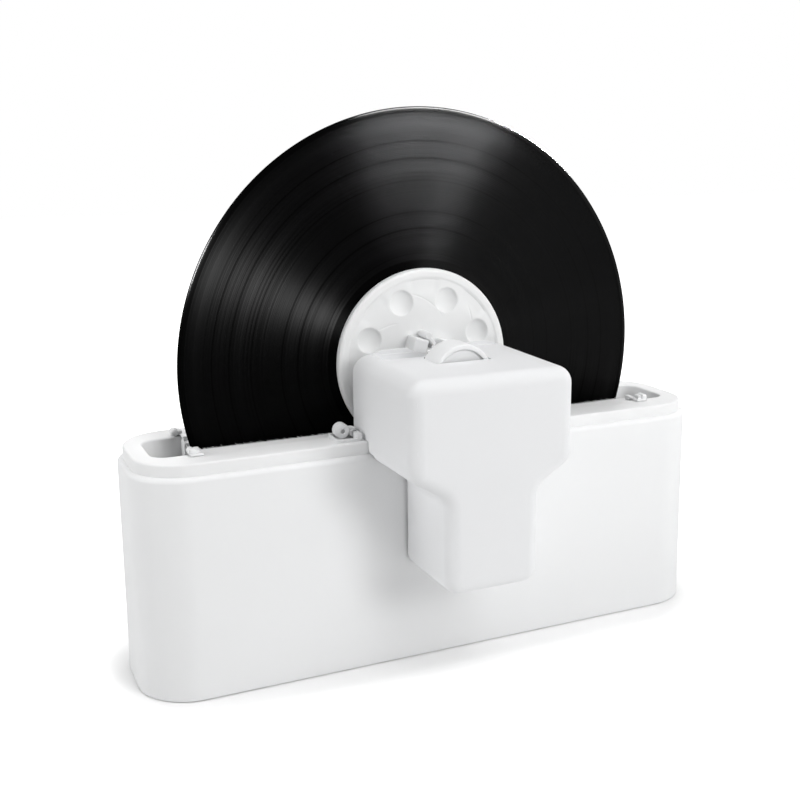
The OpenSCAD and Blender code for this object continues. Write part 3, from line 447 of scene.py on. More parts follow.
def arcPoints(cx, cy, radius, start, end, steps):
    turns = [math.radians(start + (end - start) * i / steps) for i in range(steps + 1)]
    return [(cx + radius * math.cos(a), cy + radius * math.sin(a)) for a in turns]


def circlePoints(cx, cy, radius, steps):
    turns = [2 * math.pi * i / steps for i in range(steps)]
    return [(cx + radius * math.cos(a), cy + radius * math.sin(a)) for a in turns]


# Turns a section of (radius, distance forward) round an axis along Y, by default the spindle's
def turnedPiece(name, section, material, steps, axisX=0.0, axisZ=place["axleZ"]):
    loops = [[(x, -forward, z) for x, z in circlePoints(axisX, axisZ, r, steps)] for r, forward in section]
    points, faces = skinLoops(loops, ring=True)
    return makeMesh(name, points, faces, material)


def joinPieces(name, pieces):
    for other in bpy.context.scene.objects:
        other.select_set(False)
    for piece in pieces:
        piece.select_set(True)
    bpy.context.view_layer.objects.active = pieces[0]
    bpy.ops.object.join()
    pieces[0].name = name
    pieces[0].data.name = name
    return pieces[0]


def cutWith(piece, cutters, operation="DIFFERENCE"):
    for cutter in cutters:
        cut = piece.modifiers.new("cut", "BOOLEAN")
        cut.operation = operation
        cut.solver = "EXACT"
        cut.object = cutter
    applyModifiers(piece)
    for cutter in cutters:
        bpy.data.objects.remove(cutter, do_unlink=True)


def extrudedPiece(name, outline, low, high, material, axis="z"):
    n = len(outline)
    if axis == "z":
        points = [(x, y, low) for x, y in outline] + [(x, y, high) for x, y in outline]
    elif axis == "x":
        points = [(low, a, b) for a, b in outline] + [(high, a, b) for a, b in outline]
    else:
        points = [(a, low, b) for a, b in outline] + [(a, high, b) for a, b in outline]
    faces = [tuple(range(n))[::-1], tuple(range(n, 2 * n))]
    faces += [(i, (i + 1) % n, n + (i + 1) % n, n + i) for i in range(n)]
    return makeMesh(name, points, faces, material)


def boxPiece(name, low, high, material):
    outline = [(low[0], low[1]), (high[0], low[1]), (high[0], high[1]), (low[0], high[1])]
    return extrudedPiece(name, outline, low[2], high[2], material)


# Round rods: upright, forward from the record's plane, and across the bath
def rodZ(x, y, r, low, high, material):
    return extrudedPiece("rod", circlePoints(x, y, r, 48), low, high, material)


def rodForward(r, low, high, x, z, steps=64):
    return extrudedPiece("rod", circlePoints(x, z, r, steps), -high, -low, housingWhite, axis="y")


def rodAcross(r, low, high, forward, z):
    return extrudedPiece("rod", circlePoints(-forward, z, r, 48), low, high, housingWhite, axis="x")


def bevelEdges(piece, width, segments, angle):
    bevel = piece.modifiers.new("ease", "BEVEL")
    bevel.limit_method = "ANGLE"
    bevel.angle_limit = math.radians(angle)
    bevel.width = width * mm
    bevel.segments = segments
    bevel.use_clamp_overlap = True
    applyModifiers(piece)


def finishPiece(piece, body, node):
    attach(piece, body)
    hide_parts(node)
    return piece


# bath casing, with a shelf in each corner for a screw and a foot
casing = {"cornerX": 154.0, "cornerY": 11.75, "cornerSteps": 28, "radius": 31.0, "flare": 1.3, "wall": 2.4,
          "innerEase": 1.2, "footZ": 0.6, "footEase": 0.5, "shoulderZ": 131.0, "shoulderRound": 3.0,
          "lipIn": 24.5, "lipT": 2.5, "shelfX": 150.0, "shelfY": 12.0, "shelfT": 3.0, "shelfGap": 1.2,
          "postX": 158.0, "postY": 30.5, "screwR": 1.65, "screwTop": 8.0, "boreR": 3.2, "boreTop": 1.8,
          "footX": 168.0, "footY": 22.0, "footR": 6.0, "footTop": 2.6}
bathCorners = [(sx, sy) for sx in (-1, 1) for sy in (-1, 1)]


def cornerShelf(c, sx, sy):
    arc = arcPoints(c["cornerX"], c["cornerY"], c["radius"] + c["flare"] - c["shelfGap"], 0, 90, 16)
    outline = [(c["shelfX"], c["shelfY"])] + [(x, y) for x, y in arc if y > c["shelfY"]]
    outline = [(sx * x, sy * y) for x, y in outline + [(c["shelfX"], arc[-1][1])]]
    shelf = extrudedPiece("shelf", outline, c["footZ"], c["footZ"] + c["shelfT"], bathWhite)
    holes = ((c["postX"], c["postY"], c["screwR"], c["screwTop"]),
             (c["postX"], c["postY"], c["boreR"], c["boreTop"]),
             (c["footX"], c["footY"], c["footR"], c["footTop"]))
    cutWith(shelf, [rodZ(sx * x, sy * y, r, -1, top, bathWhite) for x, y, r, top in holes])
    return shelf


def buildCasing(c):
    foot, low, ease = c["radius"] + c["flare"], c["footZ"], c["footEase"]
    under, inner = c["shoulderZ"] - c["lipT"], c["radius"] - c["wall"]
    section = [(foot - c["wall"], low), (foot - ease, low), (foot - 0.3 * ease, low + 0.3 * ease),
               (foot, low + ease)]
    section += arcPoints(c["radius"] - c["shoulderRound"], c["shoulderZ"] - c["shoulderRound"],
                         c["shoulderRound"], 0, 90, 8)
    section += [(c["lipIn"], c["shoulderZ"]), (c["lipIn"], under), (inner - c["innerEase"], under),
                (inner, under - c["innerEase"])]
    loops = [roundedLoop(c["cornerX"] + r, c["cornerY"] + r, r, z, c["cornerSteps"]) for r, z in section]
    points, faces = skinLoops(loops, ring=True)
    shell = makeMesh("bathCasing", points, faces, bathWhite)
    return joinPieces("bathCasing", [shell] + [cornerShelf(c, sx, sy) for sx, sy in bathCorners])


finishPiece(buildCasing(casing), "bath", "casing")
print("bath casing is built")


# trough with its raised rim
trough = {"rimRadius": 27.7, "rimZ": 138.2, "rimRound": 1.1, "wall": 2.4, "mouthHalfL": 171.0,
          "mouthHalfD": 20.0, "mouthRadius": 9.0, "mouthRound": 1.3, "floorZ": 14.0, "draft": 3.0,
          "endRadius": 70.0, "endSteps": 26, "levels": (100.0, 118.0), "cornerShrink": 0.16,
          "cornerLeast": 4.0, "postR": 4.5, "postDown": 1.0}


def tubLoop(t, grow, z):
    rise = (z - t["floorZ"]) / (t["rimZ"] - t["floorZ"])
    halfD = t["mouthHalfD"] + grow - t["draft"] * (1 - rise)
    turnZ = t["floorZ"] + t["endRadius"]
    big = t["endRadius"] + grow
    halfL = t["mouthHalfL"] + grow
    if z < turnZ:
        halfL -= big - math.sqrt(max(big * big - (turnZ - z) ** 2, 0.0))
    corner = t["mouthRadius"] + grow
    shrunk = max(t["cornerLeast"], corner - t["cornerShrink"] * max(0.0, turnZ - z))
    return roundedLoop(halfL, halfD, min(corner, shrunk, halfD - 0.5), z, casing["cornerSteps"])


def buildTrough(t, c):
    n = t["endSteps"]
    turnZ = t["floorZ"] + t["endRadius"]
    innerLevels = [turnZ - t["endRadius"] * math.sin(math.radians(90 - 90 * i / n)) for i in range(n + 1)]
    innerLevels += [*t["levels"], t["rimZ"] - t["mouthRound"]]
    loops = [tubLoop(t, 0.0, z) for z in innerLevels]
    for i in range(1, 6):
        a = math.radians(90 * i / 5)
        out = t["mouthRound"] * (1 - math.cos(a))
        loops.append(roundedLoop(t["mouthHalfL"] + out, t["mouthHalfD"] + out, t["mouthRadius"] + out,
                                 t["rimZ"] - t["mouthRound"] * (1 - math.sin(a)), c["cornerSteps"]))
    section = arcPoints(t["rimRadius"] - t["rimRound"], t["rimZ"] - t["rimRound"], t["rimRound"], 90, 0, 6)
    section += [(t["rimRadius"], c["shoulderZ"]), (t["rimRadius"] - t["wall"], c["shoulderZ"]),
                (t["rimRadius"] - t["wall"], t["rimZ"] - t["wall"])]
    loops += [roundedLoop(c["cornerX"] + r, c["cornerY"] + r, r, z, c["cornerSteps"]) for r, z in section]
    outerTurn = t["endRadius"] + t["wall"]
    outerLevels = [t["rimZ"] - t["wall"], *reversed(t["levels"])]
    outerLevels += [turnZ - outerTurn * math.sin(math.radians(90 * i / n)) for i in range(n + 1)]
    loops += [tubLoop(t, t["wall"], z) for z in outerLevels]
    points, faces = skinLoops(loops, caps=True)
    tub = makeMesh("trough", points, faces, troughWhite)
    low, high = c["footZ"] + c["shelfT"], t["rimZ"] - t["postDown"]
    posts = [rodZ(sx * c["postX"], sy * c["postY"], t["postR"], low, high, troughWhite)
             for sx, sy in bathCorners]
    return joinPieces("trough", [tub] + posts)


finishPiece(buildTrough(trough, casing), "bath", "trough")
print("trough is built")


# record; each point of its edge is given by its distance from the rim and from the face's plane
record = {"radius": 150.8, "half": 0.95, "hole": 3.6, "sunk": 0.2, "labelR": 50.5, "labelStep": 0.8,
          "edge": ((4.6, 0.2), (3.6, 0.06), (3.0, 0.0), (1.4, 0.0), (0.8, 0.12), (0.35, 0.35), (0.1, 0.65)),
          "steps": 360}


def buildRecord(r):
    half = r["half"]
    front = [(r["hole"], half), (r["labelR"], half), (r["labelR"] + r["labelStep"], half - r["sunk"])]
    front += [(r["radius"] - inward, half - under) for inward, under in r["edge"]]
    section = front + [(r["radius"], 0.0)] + [(x, -y) for x, y in reversed(front)]
    return turnedPiece("record", section, recordVinyl, r["steps"])


recordPiece = finishPiece(buildRecord(record), "spindle", "vinyl_record")

# the record has lamps of its own for the sheen across its grooves, and the other lamps leave it dark
recordAim = (0.0, 0.0, 0.17)
recordLamps = [
    {"name": "rimLeft", "spot": (0.02, -0.05, 0.40), "aim": (-0.03, 0.028, 0.335), "size": 0.08,
     "power": 1.0, "spread": 0.8},
    {"name": "rimRight", "spot": (0.11, -0.05, 0.40), "aim": (0.03, 0.028, 0.335), "size": 0.08,
     "power": 1.0, "spread": 0.8},
    {"name": "recordTop", "spot": (0.2, -0.105, 0.46), "size": 0.2, "power": 3.0},
    {"name": "recordLeft", "spot": (-0.94, -0.894, 0.642), "size": 0.3, "power": 500.0},
    {"name": "recordRight", "spot": (1.3, -1.3, 0.2), "size": 1.4, "power": 45.0},
    {"name": "recordLow", "spot": (0.55, -0.3, 0.1), "aim": (0.0, 0.028, 0.17), "size": 0.15, "power": 1.0},
    {"name": "recordRear", "spot": (0.94, 0.95, 0.642), "size": 0.3, "power": 500.0},
]
recordOnly = bpy.data.collections.new("recordOnly")
recordOnly.objects.link(recordPiece)
allButRecord = bpy.data.collections.new("allButRecord")
allButRecord.objects.link(recordPiece)
allButRecord.collection_objects[0].light_linking.link_state = "EXCLUDE"
for lamp in roomLamps:
    lamp.light_linking.receiver_collection = allButRecord
for lampSetup in recordLamps:
    lamp = addLamp(lampSetup, recordAim)
    lamp.visible_camera = False
    lamp.visible_diffuse = False
    lamp.light_linking.receiver_collection = recordOnly
print("record is built")


# label discs: hollows and shallow scoops round a ring, and faint swirl lines between the hollows
disc = {"radius": 56.0, "rimRound": 2.4, "bandR": 51.0, "bandSoft": (0.9, 0.4), "dip": 0.45,
        "hollows": 8, "hollowRing": 39.0, "hollowR": 7.7, "hollowDepth": 3.1, "hollowEdge": 0.08,
        "lip": 0.05, "lipWidth": 0.07, "scoopIn": 41.0, "scoopInSoft": (2.5, 5.0), "scoopOut": 50.2,
        "scoopOutSoft": 0.7, "scoopDepth": 0.5, "scoopHalf": 14.5, "scoopSideSoft": 6.0,
        "swirlDepth": 0.28, "swirlWidth": 0.55, "swirlAngle": 89.0, "swirlR": 37.4, "swirlRun": 2.8,
        "swirlStep": 60.0, "swirlIn": (28.5, 31.0), "swirlOut": (41.0, 44.5), "swirlClear": (1.02, 1.15),
        "steps": 480, "plainR": 22.0, "plainRings": 8, "formR": (22.6, 51.6), "formRings": 84,
        "backGap": 0.25, "backEase": 0.6, "sealR": (52.0, 54.4), "sealDeep": 1.2}


def smoothStep(low, high, value):
    t = np.clip((value - low) / (high - low), 0, 1)
    return t * t * (3 - 2 * t)


# The angle to the nearest whole step
def nearestTurn(angle, step):
    turn = angle % step
    return np.where(turn > step / 2, turn - step, turn)


# How far the face lies under the disc's highest plane, at a radius and an angle in degrees
def discDip(d, radius, angle):
    dip = d["dip"] * (1 - smoothStep(d["bandR"] - d["bandSoft"][0], d["bandR"] + d["bandSoft"][1], radius))
    step = 360 / d["hollows"]
    near = nearestTurn(angle - step / 2, step)
    x = radius * np.cos(np.radians(near)) - d["hollowRing"]
    y = radius * np.sin(np.radians(near))
    away = np.sqrt(x * x + y * y) / d["hollowR"]
    edge = math.sqrt(d["hollowEdge"])
    bowl = np.sqrt(np.clip(1.0 - away * away * (1 - d["hollowEdge"]), 0, 1)) - edge
    bowl = np.where(away < 1, bowl, 0) / (1 - edge)
    lip = d["lip"] * np.exp(-((away - 1.0) / d["lipWidth"]) ** 2)
    mid = np.abs(nearestTurn(angle, step))
    across = 1 - smoothStep(d["scoopHalf"] - d["scoopSideSoft"], d["scoopHalf"], mid)
    along = smoothStep(d["scoopIn"] - d["scoopInSoft"][0], d["scoopIn"] + d["scoopInSoft"][1], radius)
    along = along * (1 - smoothStep(d["scoopOut"] - d["scoopOutSoft"], d["scoopOut"], radius))
    half = d["swirlStep"] / 2
    turn = (angle - d["swirlAngle"] - (radius - d["swirlR"]) * d["swirlRun"] + half) % d["swirlStep"] - half
    swirl = np.exp(-(radius * np.radians(turn) / d["swirlWidth"]) ** 2) * smoothStep(*d["swirlIn"], radius)
    swirl = swirl * (1 - smoothStep(*d["swirlOut"], radius)) * smoothStep(*d["swirlClear"], away)
    return dip + d["hollowDepth"] * bowl + lip + d["scoopDepth"] * across * along + d["swirlDepth"] * swirl


def buildDisc(name, d, bore, face, side):
    back = record["half"] + d["backGap"]
    angles = np.arange(d["steps"]) * 360 / d["steps"]
    radii = [*np.linspace(bore, d["plainR"], d["plainRings"]), *np.linspace(*d["formR"], d["formRings"])]
    rings = [(r, face - discDip(d, np.full(d["steps"], r), angles)) for r in radii]
    sealIn, sealOut = d["sealR"]
    deep = back + d["sealDeep"]
    section = arcPoints(d["radius"] - d["rimRound"], face - d["rimRound"], d["rimRound"], 90, 0, 9)
    section += [(d["radius"], back + d["backEase"]), (d["radius"] - d["backEase"], back), (sealOut, back),
                (sealOut, deep), (sealIn, deep), (sealIn, back), (bore, back)]
    rings += [(r, np.full(d["steps"], forward)) for r, forward in section]
    loops = []
    turns = [math.radians(a) for a in angles]
    for r, heights in rings:
        loops.append([(r * math.cos(a), -side * f, place["axleZ"] + r * math.sin(a))
                      for a, f in zip(turns, heights)])
    points, faces = skinLoops(loops, ring=True)
    return makeMesh(name, points, faces, discWhite, 40)


finishPiece(buildDisc("frontDisc", disc, 4.0, 6.0, 1), "spindle", "front_label_disc")
finishPiece(buildDisc("rearDisc", disc, 3.55, 5.1, -1), "rear_clamp", "rear_label_disc")
print("label discs are built")


# hub between the front disc and the drive unit
hub = {"core": 8.5, "bore": 4.0, "back": 6.0, "backIn": 0.8, "front": 16.6, "coreEase": 0.7, "lobes": 4,
       "lobeFront": 18.1, "lobeSize": (9.2, 9.0), "lobeR": 13.5, "lobeAngle": 125.0, "lobeLean": -16.0,
       "lobeEase": 0.9, "peg": (-2.0, 16.8), "pegR": 2.3, "pegEase": 0.6, "finFoot": (3.0, 10.8),
       "finT": 2.2, "finFront": 15.1, "finEase": 0.5, "ribFront": 13.0, "ribIn": 2.0, "ribEase": 0.4}


def turnedOutline(centre, halfWidth, halfHeight, lean):
    c, s = math.cos(math.radians(lean)), math.sin(math.radians(lean))
    corners = ((-halfWidth, -halfHeight), (halfWidth, -halfHeight), (halfWidth, halfHeight),
               (-halfWidth, halfHeight))
    return [(centre[0] + c * x - s * z, centre[1] + s * x + c * z) for x, z in corners]


def hubLobe(h):
    angle = math.radians(h["lobeAngle"])
    spot = (h["lobeR"] * math.cos(angle), h["lobeR"] * math.sin(angle))
    width, height = h["lobeSize"]
    pegX, pegZ = h["peg"]
    footX, footZ = h["finFoot"]
    runX, runZ = footX - pegX, footZ - pegZ
    middle = ((pegX + footX) / 2, (pegZ + footZ) / 2)
    reach, inner = math.hypot(footX, footZ), h["core"] - h["ribIn"]
    ribAngle = math.atan2(footZ, footX)
    ribMiddle = ((inner + reach) / 2 * math.cos(ribAngle), (inner + reach) / 2 * math.sin(ribAngle))
    block = turnedOutline(spot, width / 2, height / 2, h["lobeLean"])
    peg = circlePoints(pegX, pegZ, h["pegR"], 32)
    finAngle = math.degrees(math.atan2(runZ, runX))
    fin = turnedOutline(middle, math.hypot(runX, runZ) / 2, h["finT"] / 2, finAngle)
    rib = turnedOutline(ribMiddle, (reach - inner) / 2, h["finT"] / 2, math.degrees(ribAngle))
    pieces = []
    for name, outline, front, ease in (("block", block, h["lobeFront"], (h["lobeEase"], 3, 30)),
                                       ("peg", peg, h["front"], (h["pegEase"], 3, 40)),
                                       ("fin", fin, h["finFront"], (h["finEase"], 2, 30)),
                                       ("rib", rib, h["ribFront"], (h["ribEase"], 2, 30))):
        piece = extrudedPiece(name, outline, -front, h["backIn"] - h["back"], partWhite, axis="y")
        bevelEdges(piece, *ease)
        pieces.append(piece)
    return pieces


def turnMesh(piece, degrees, lift):
    piece.data.transform(Matrix.Rotation(math.radians(degrees), 4, "Y"))
    piece.data.transform(Matrix.Translation((0, 0, lift * mm)))


def buildHub(h):
    pieces = []
    for k in range(h["lobes"]):
        for piece in hubLobe(h):
            turnMesh(piece, -360 / h["lobes"] * k, place["axleZ"])
            pieces.append(piece)
    back, ease = h["back"] - h["backIn"], h["coreEase"]
    core = [(h["bore"], back), (h["core"], back)]
    core += arcPoints(h["core"] - ease, h["front"] - ease, ease, 0, 90, 4)
    core += [(h["bore"], h["front"])]
    pieces.insert(0, turnedPiece("driveHub", core, partWhite, 96))
    return joinPieces("driveHub", pieces)


finishPiece(buildHub(hub), "spindle", "drive_hub")


# thumb wheel
wheel = {"radius": 18.5, "back": 41.0, "front": 59.4, "rim": 3.0, "dish": 1.5, "web": 3.0, "bore": 4.0,
         "coreR": 7.0, "ease": 0.9, "backEase": 0.4, "lipEase": 0.6, "dishEase": 1.2, "steps": 160}


def buildWheel(w):
    inner = w["radius"] - w["rim"]
    webFront = w["front"] - w["dish"]
    webBack = webFront - w["web"]
    ease, lip, deep = w["ease"], w["lipEase"], w["dishEase"]
    section = [(w["bore"], w["back"]), (w["coreR"], w["back"]), (w["coreR"], webBack), (inner, webBack),
               (inner, w["back"] + w["backEase"]), (inner + w["backEase"], w["back"]),
               (w["radius"] - ease, w["back"])]
    section += arcPoints(w["radius"] - ease, w["back"] + ease, ease, -90, 0, 4)[1:]
    section += arcPoints(w["radius"] - ease, w["front"] - ease, ease, 0, 90, 4)
    section += arcPoints(inner + lip, w["front"] - lip, lip, 90, 180, 3)
    section += arcPoints(inner - deep, webFront + deep, deep, 0, -90, 4)
    section += [(w["bore"], webFront)]
    return turnedPiece("thumbWheel", section, partWhite, w["steps"])


finishPiece(buildWheel(wheel), "spindle", "thumb_wheel")
print("hub and thumb wheel are built")


# drive unit housing, with its hook over the bath's rim, the opening in its head and the crest behind that
housing = {"reach": 100.0, "headHalf": 50.2, "bodyHalf": 28.8, "draft": 0.036, "top": 184.7, "bottom": 60.0,
           "turnZ": 135.0, "slope": 58.0, "topRound": 10.0, "turnR": 9.0, "waistR": 10.0, "bottomRound": 9.0,
           "back": 18.5, "wall": 2.4, "frontRound": 8.0, "arcSteps": 12, "roundSteps": 9, "ease": 0.45}
hook = {"top": 138.5, "stepY": 40.2, "stepZ": 131.7, "backY": 45.4, "past": 5.0, "half": 80.0}
opening = {"recessX": (-34.5, 19.5), "recessRamp": 5.5, "recessY": (22.0, 41.0), "floor": 181.6,
           "floorT": 1.6, "rearWall": 0.8, "gearHalf": 16.0, "gearBack": 34.8, "slotHalf": 17.6,
           "slotFront": 60.4, "slotDown": 8.0, "over": 12.0, "notchR": 31.0, "notchFront": 10.0,
           "blockPast": (3.0, 2.0)}
crest = {"half": 33.0, "height": 2.3, "round": 17.0, "sunk": 1.0}
buttonHole = {"r": 6.3, "x": (40.0, 60.0), "forward": 70.0, "z": 159.0}
doorway = {"half": 18.9, "front": 92.3, "back": 54.6, "height": 2.5}
knuckle = {"r": 1.9, "x": 15.8, "half": 3.5, "forward": 57.2, "z": 62.0}
# screw posts: radius, back and front end, distance from the middle, and heights
screwPosts = ((3.5, 63.5, 98.8, 35.0, (146.0, 176.0)), (3.2, 20.9, 98.8, 43.5, (145.5, 172.0)))


def housingOutline(h, inset):
    slope = math.radians(h["slope"])
    lean = 1 - math.cos(slope)
    run = h["headHalf"] - h["turnR"] * lean - h["bodyHalf"] - h["waistR"] * lean
    waistZ = h["turnZ"] - (h["turnR"] + h["waistR"]) * math.sin(slope) - run / math.tan(slope)
    low, top, n = h["bottomRound"], h["topRound"], h["arcSteps"]
    half = arcPoints(h["bodyHalf"] - low, h["bottom"] + low, low - inset, -90, 0, n)
    half += arcPoints(h["bodyHalf"] + h["waistR"], waistZ, h["waistR"] + inset, 180, 180 - h["slope"], n)
    half += arcPoints(h["headHalf"] - h["turnR"], h["turnZ"], h["turnR"] - inset, -h["slope"], 0, n)
    half += arcPoints(h["headHalf"] - top, h["top"] - top, top - inset, 0, 90, n)
    return half + [(-x, z) for x, z in reversed(half)]


def housingStation(h, depth, inset):
    grow = 1 + h["draft"] * depth / (h["reach"] - h["back"])
    return [(x * grow, depth - h["reach"], z) for x, z in housingOutline(h, inset)]


def housingForm(name, h, skin, back):
    r = h["frontRound"] - skin
    stations = []
    for i in range(h["roundSteps"] + 1):
        a = math.radians(90 * i / h["roundSteps"])
        stations.append(housingStation(h, skin + r * (1 - math.cos(a)), skin + r * (1 - math.sin(a))))
    stations.append(housingStation(h, h["reach"] - back, skin))
    points, faces = skinLoops(stations)
    n = len(stations[0])
    last = (len(stations) - 1) * n
    faces += [(i, n - 1 - i, n - 2 - i, i + 1) for i in range(n // 2 - 1)]
    faces += [(last + i, last + i + 1, last + n - 2 - i, last + n - 1 - i) for i in range(n // 2 - 1)]
    return makeMesh(name, points, faces, housingWhite)


def railOutline(h, c):
    turn = math.degrees(math.acos(1 - c["height"] / c["round"]))
    end = c["half"] + c["round"] * math.sin(math.radians(turn))
    centreZ = h["top"] + c["height"] - c["round"]
    rail = [(-end, h["top"] - c["sunk"]), (end, h["top"] - c["sunk"])]
    rail += arcPoints(c["half"], centreZ, c["round"], 90 - turn, 90, 12)
    return rail + arcPoints(-c["half"], centreZ, c["round"], 90, 90 + turn, 12)


def recessCutters(h, o):
    low, over = h["top"] - o["slotDown"], h["top"] + o["over"]
    x0, x1 = o["recessX"]
    back, front = o["recessY"]
    rampX = x0 - o["recessRamp"]
    ramp = [(x0, o["floor"]), (x1, o["floor"]), (x1, over), (rampX, over), (rampX, h["top"])]
    return [rodForward(o["notchR"], o["notchFront"], back + 0.2, 0, o["floor"] + o["notchR"], 256),
            extrudedPiece("recess", ramp, -front, -back, housingWhite, axis="y"),
            boxPiece("gearSlot", (-o["gearHalf"], -front, low), (o["gearHalf"], -o["gearBack"], over),
                     housingWhite),
            boxPiece("wheelSlot", (-o["slotHalf"], -o["slotFront"], low), (o["slotHalf"], 1 - front, over),
                     housingWhite)]


# A block under the head's top carries the recess's floor and walls
def recessBlock(h, o):
    (x0, x1), (back, front), (pastLeft, pastRight) = o["recessX"], o["recessY"], o["blockPast"]
    return boxPiece("block", (x0 - pastLeft, -front - 1, o["floor"] - o["floorT"]),
                    (x1 + pastRight, o["rearWall"] - back, h["top"] - h["wall"] + 0.1), housingWhite)


def buildHousing(h):
    shell = housingForm("driveHousing", h, 0.0, h["back"])
    rail = extrudedPiece("rail", railOutline(h, crest), -h["back"] - h["wall"], -h["back"], housingWhite,
                         axis="y")
    cutWith(shell, [rail], "UNION")
    cutWith(shell, [housingForm("hollow", h, h["wall"], h["back"] - 2)])
    cutWith(shell, [recessBlock(h, opening)], "UNION")
    hookSide = [(hook["past"], hook["top"]), (-hook["stepY"], hook["top"]), (-hook["stepY"], hook["stepZ"]),
                (-hook["backY"], hook["stepZ"]), (-hook["backY"], 0), (hook["past"], 0)]
    cutters = recessCutters(h, opening)
    cutters += [extrudedPiece("hook", hookSide, -hook["half"], hook["half"], housingWhite, axis="x"),
                rodAcross(buttonHole["r"], *buttonHole["x"], buttonHole["forward"], buttonHole["z"]),
                boxPiece("doorway", (-doorway["half"], -doorway["front"], h["bottom"] - 1),
                         (doorway["half"], -doorway["back"], h["bottom"] + doorway["height"]), housingWhite)]
    cutWith(shell, cutters)
    bevelEdges(shell, h["ease"], 2, 50)
    softenByAngle(shell, 30)
    return shell


def buildKnuckle(k, side):
    middle = side * k["x"]
    return rodAcross(k["r"], middle - k["half"], middle + k["half"], k["forward"], k["z"])


housingShell = buildHousing(housing)
knuckles = [buildKnuckle(knuckle, side) for side in (-1, 1)]
posts = [rodForward(r, low, high, side * x, z)
         for r, low, high, x, heights in screwPosts for side in (-1, 1) for z in heights]
housingPiece = joinPieces("driveHousing", [housingShell] + knuckles + posts)
evenNormals(housingPiece)
finishPiece(housingPiece, "drive_unit", "drive_housing")
print("drive unit housing is built")


# brush bars with their end hooks
bar = {"halfL": 147.0, "top": 137.0, "height": 16.0, "outer": 17.9, "inner": 8.5, "round": 1.5,
       "chamfer": 2.0, "grooveTop": 135.5, "grooveH": 12.0, "grooveT": 1.6, "railEase": 0.35,
       "hookZ": 138.5, "armW": 3.2, "armT": 1.5, "armIn": 12.0, "reach": 27.0, "footIn": 22.0,
       "footX": 151.5, "ease": 0.5, "inset": 0.4, "riserIn": 0.5, "riserDown": 2.0, "riserEase": 0.2,
       "tabW": 3.5, "tabTop": 142.6, "tabIn": 0.3, "tabEase": 0.8, "pegZ": 140.6, "pegDome": 0.7,
       "pegBore": 0.01, "pegs": ((150.3, 2.1, 18.8), (147.0, 1.5, 19.6))}


def easedBox(low, high, ease):
    piece = boxPiece("box", low, high, partWhite)
    bevelEdges(piece, ease, 3, 30)
    return piece


def mirrorMesh(piece, axis):
    if axis == "x":
        piece.data.transform(Matrix.Diagonal((-1, 1, 1, 1)))
    else:
        shift = Matrix.Translation((0, 2 * place["planeY"] * mm, 0))
        piece.data.transform(shift @ Matrix.Diagonal((1, -1, 1, 1)))
    piece.data.flip_normals()


def barLug(b):
    armX, top, inset = b["halfL"] - b["armW"], b["hookZ"] + b["armT"], b["inset"]
    outline = [(armX, -b["reach"]), (b["footX"], -b["reach"]), (b["footX"], -b["footIn"]),
               (b["halfL"], -b["footIn"]), (b["halfL"], -b["armIn"]), (armX, -b["armIn"])]
    plate = extrudedPiece("plate", outline, b["hookZ"], top, partWhite)
    bevelEdges(plate, b["ease"], 3, 30)
    riser = easedBox((armX + inset, b["riserIn"] - b["outer"], b["top"] - b["riserDown"]),
                     (b["halfL"] - inset, -b["armIn"] - inset, top - inset), b["riserEase"])
    tab = easedBox((b["footX"] - b["tabW"], b["tabIn"] - b["reach"], b["hookZ"] + inset),
                   (b["footX"] - b["tabIn"], b["tabW"] - b["reach"], b["tabTop"]), b["tabEase"])
    pegs = [roundPeg(x, b["pegZ"], r, near, b["reach"] - b["tabW"] / 2) for x, r, near in b["pegs"]]
    return [plate, riser, tab] + pegs


# A peg that points forward, with a domed near end; a hair-thin bore along its axis closes the skin
def roundPeg(x, z, r, near, far):
    pole, dome = bar["pegBore"], r * bar["pegDome"]
    turns = [math.radians(a) for a in range(0, 91, 15)]
    section = [(max(r * math.sin(a), pole), near + dome * (1 - math.cos(a))) for a in turns]
    section += [(r, far), (pole, far)]
    return turnedPiece("peg", section, partWhite, 32, x, z)


def buildBar(name, b, rear):
    low, groove = b["top"] - b["height"], b["grooveTop"] - b["grooveH"]
    face, bottom = -b["inner"], -b["inner"] - b["grooveT"]
    outline = [(face, low), (b["chamfer"] - b["outer"], low), (-b["outer"], low + b["chamfer"])]
    outline += arcPoints(b["round"] - b["outer"], b["top"] - b["round"], b["round"], 180, 90, 6)
    outline += [(face, b["top"]), (face, b["grooveTop"]), (bottom, b["grooveTop"]), (bottom, groove),
                (face, groove)]
    rail = extrudedPiece("rail", outline, -b["halfL"], b["halfL"], partWhite, axis="x")
    bevelEdges(rail, b["railEase"], 2, 50)
    pieces = [rail] + barLug(b)
    for piece in barLug(b):
        mirrorMesh(piece, "x")
        pieces.append(piece)
    if rear:
        for piece in pieces:
            mirrorMesh(piece, "y")
    return joinPieces(name, pieces)


finishPiece(buildBar("frontBar", bar, False), "front_brush", "front_brush_bar")
finishPiece(buildBar("rearBar", bar, True), "rear_brush", "rear_brush_bar")
print("brush bars are built")


# bristles, as a repeating field
bristle = {"x0": 62.0, "x1": 146.5, "low": 123.5, "high": 135.5, "root": 10.1, "tip": 1.35, "columns": 92,
           "rows": 11, "thick": 0.22, "tipR": 0.12, "sides": 5, "jitter": 0.26, "lean": 0.05, "turn": 6.28,
           "shortest": 0.93, "backing": 0.4, "seed": 5, "rightSeed": 3, "rearSeed": 7}


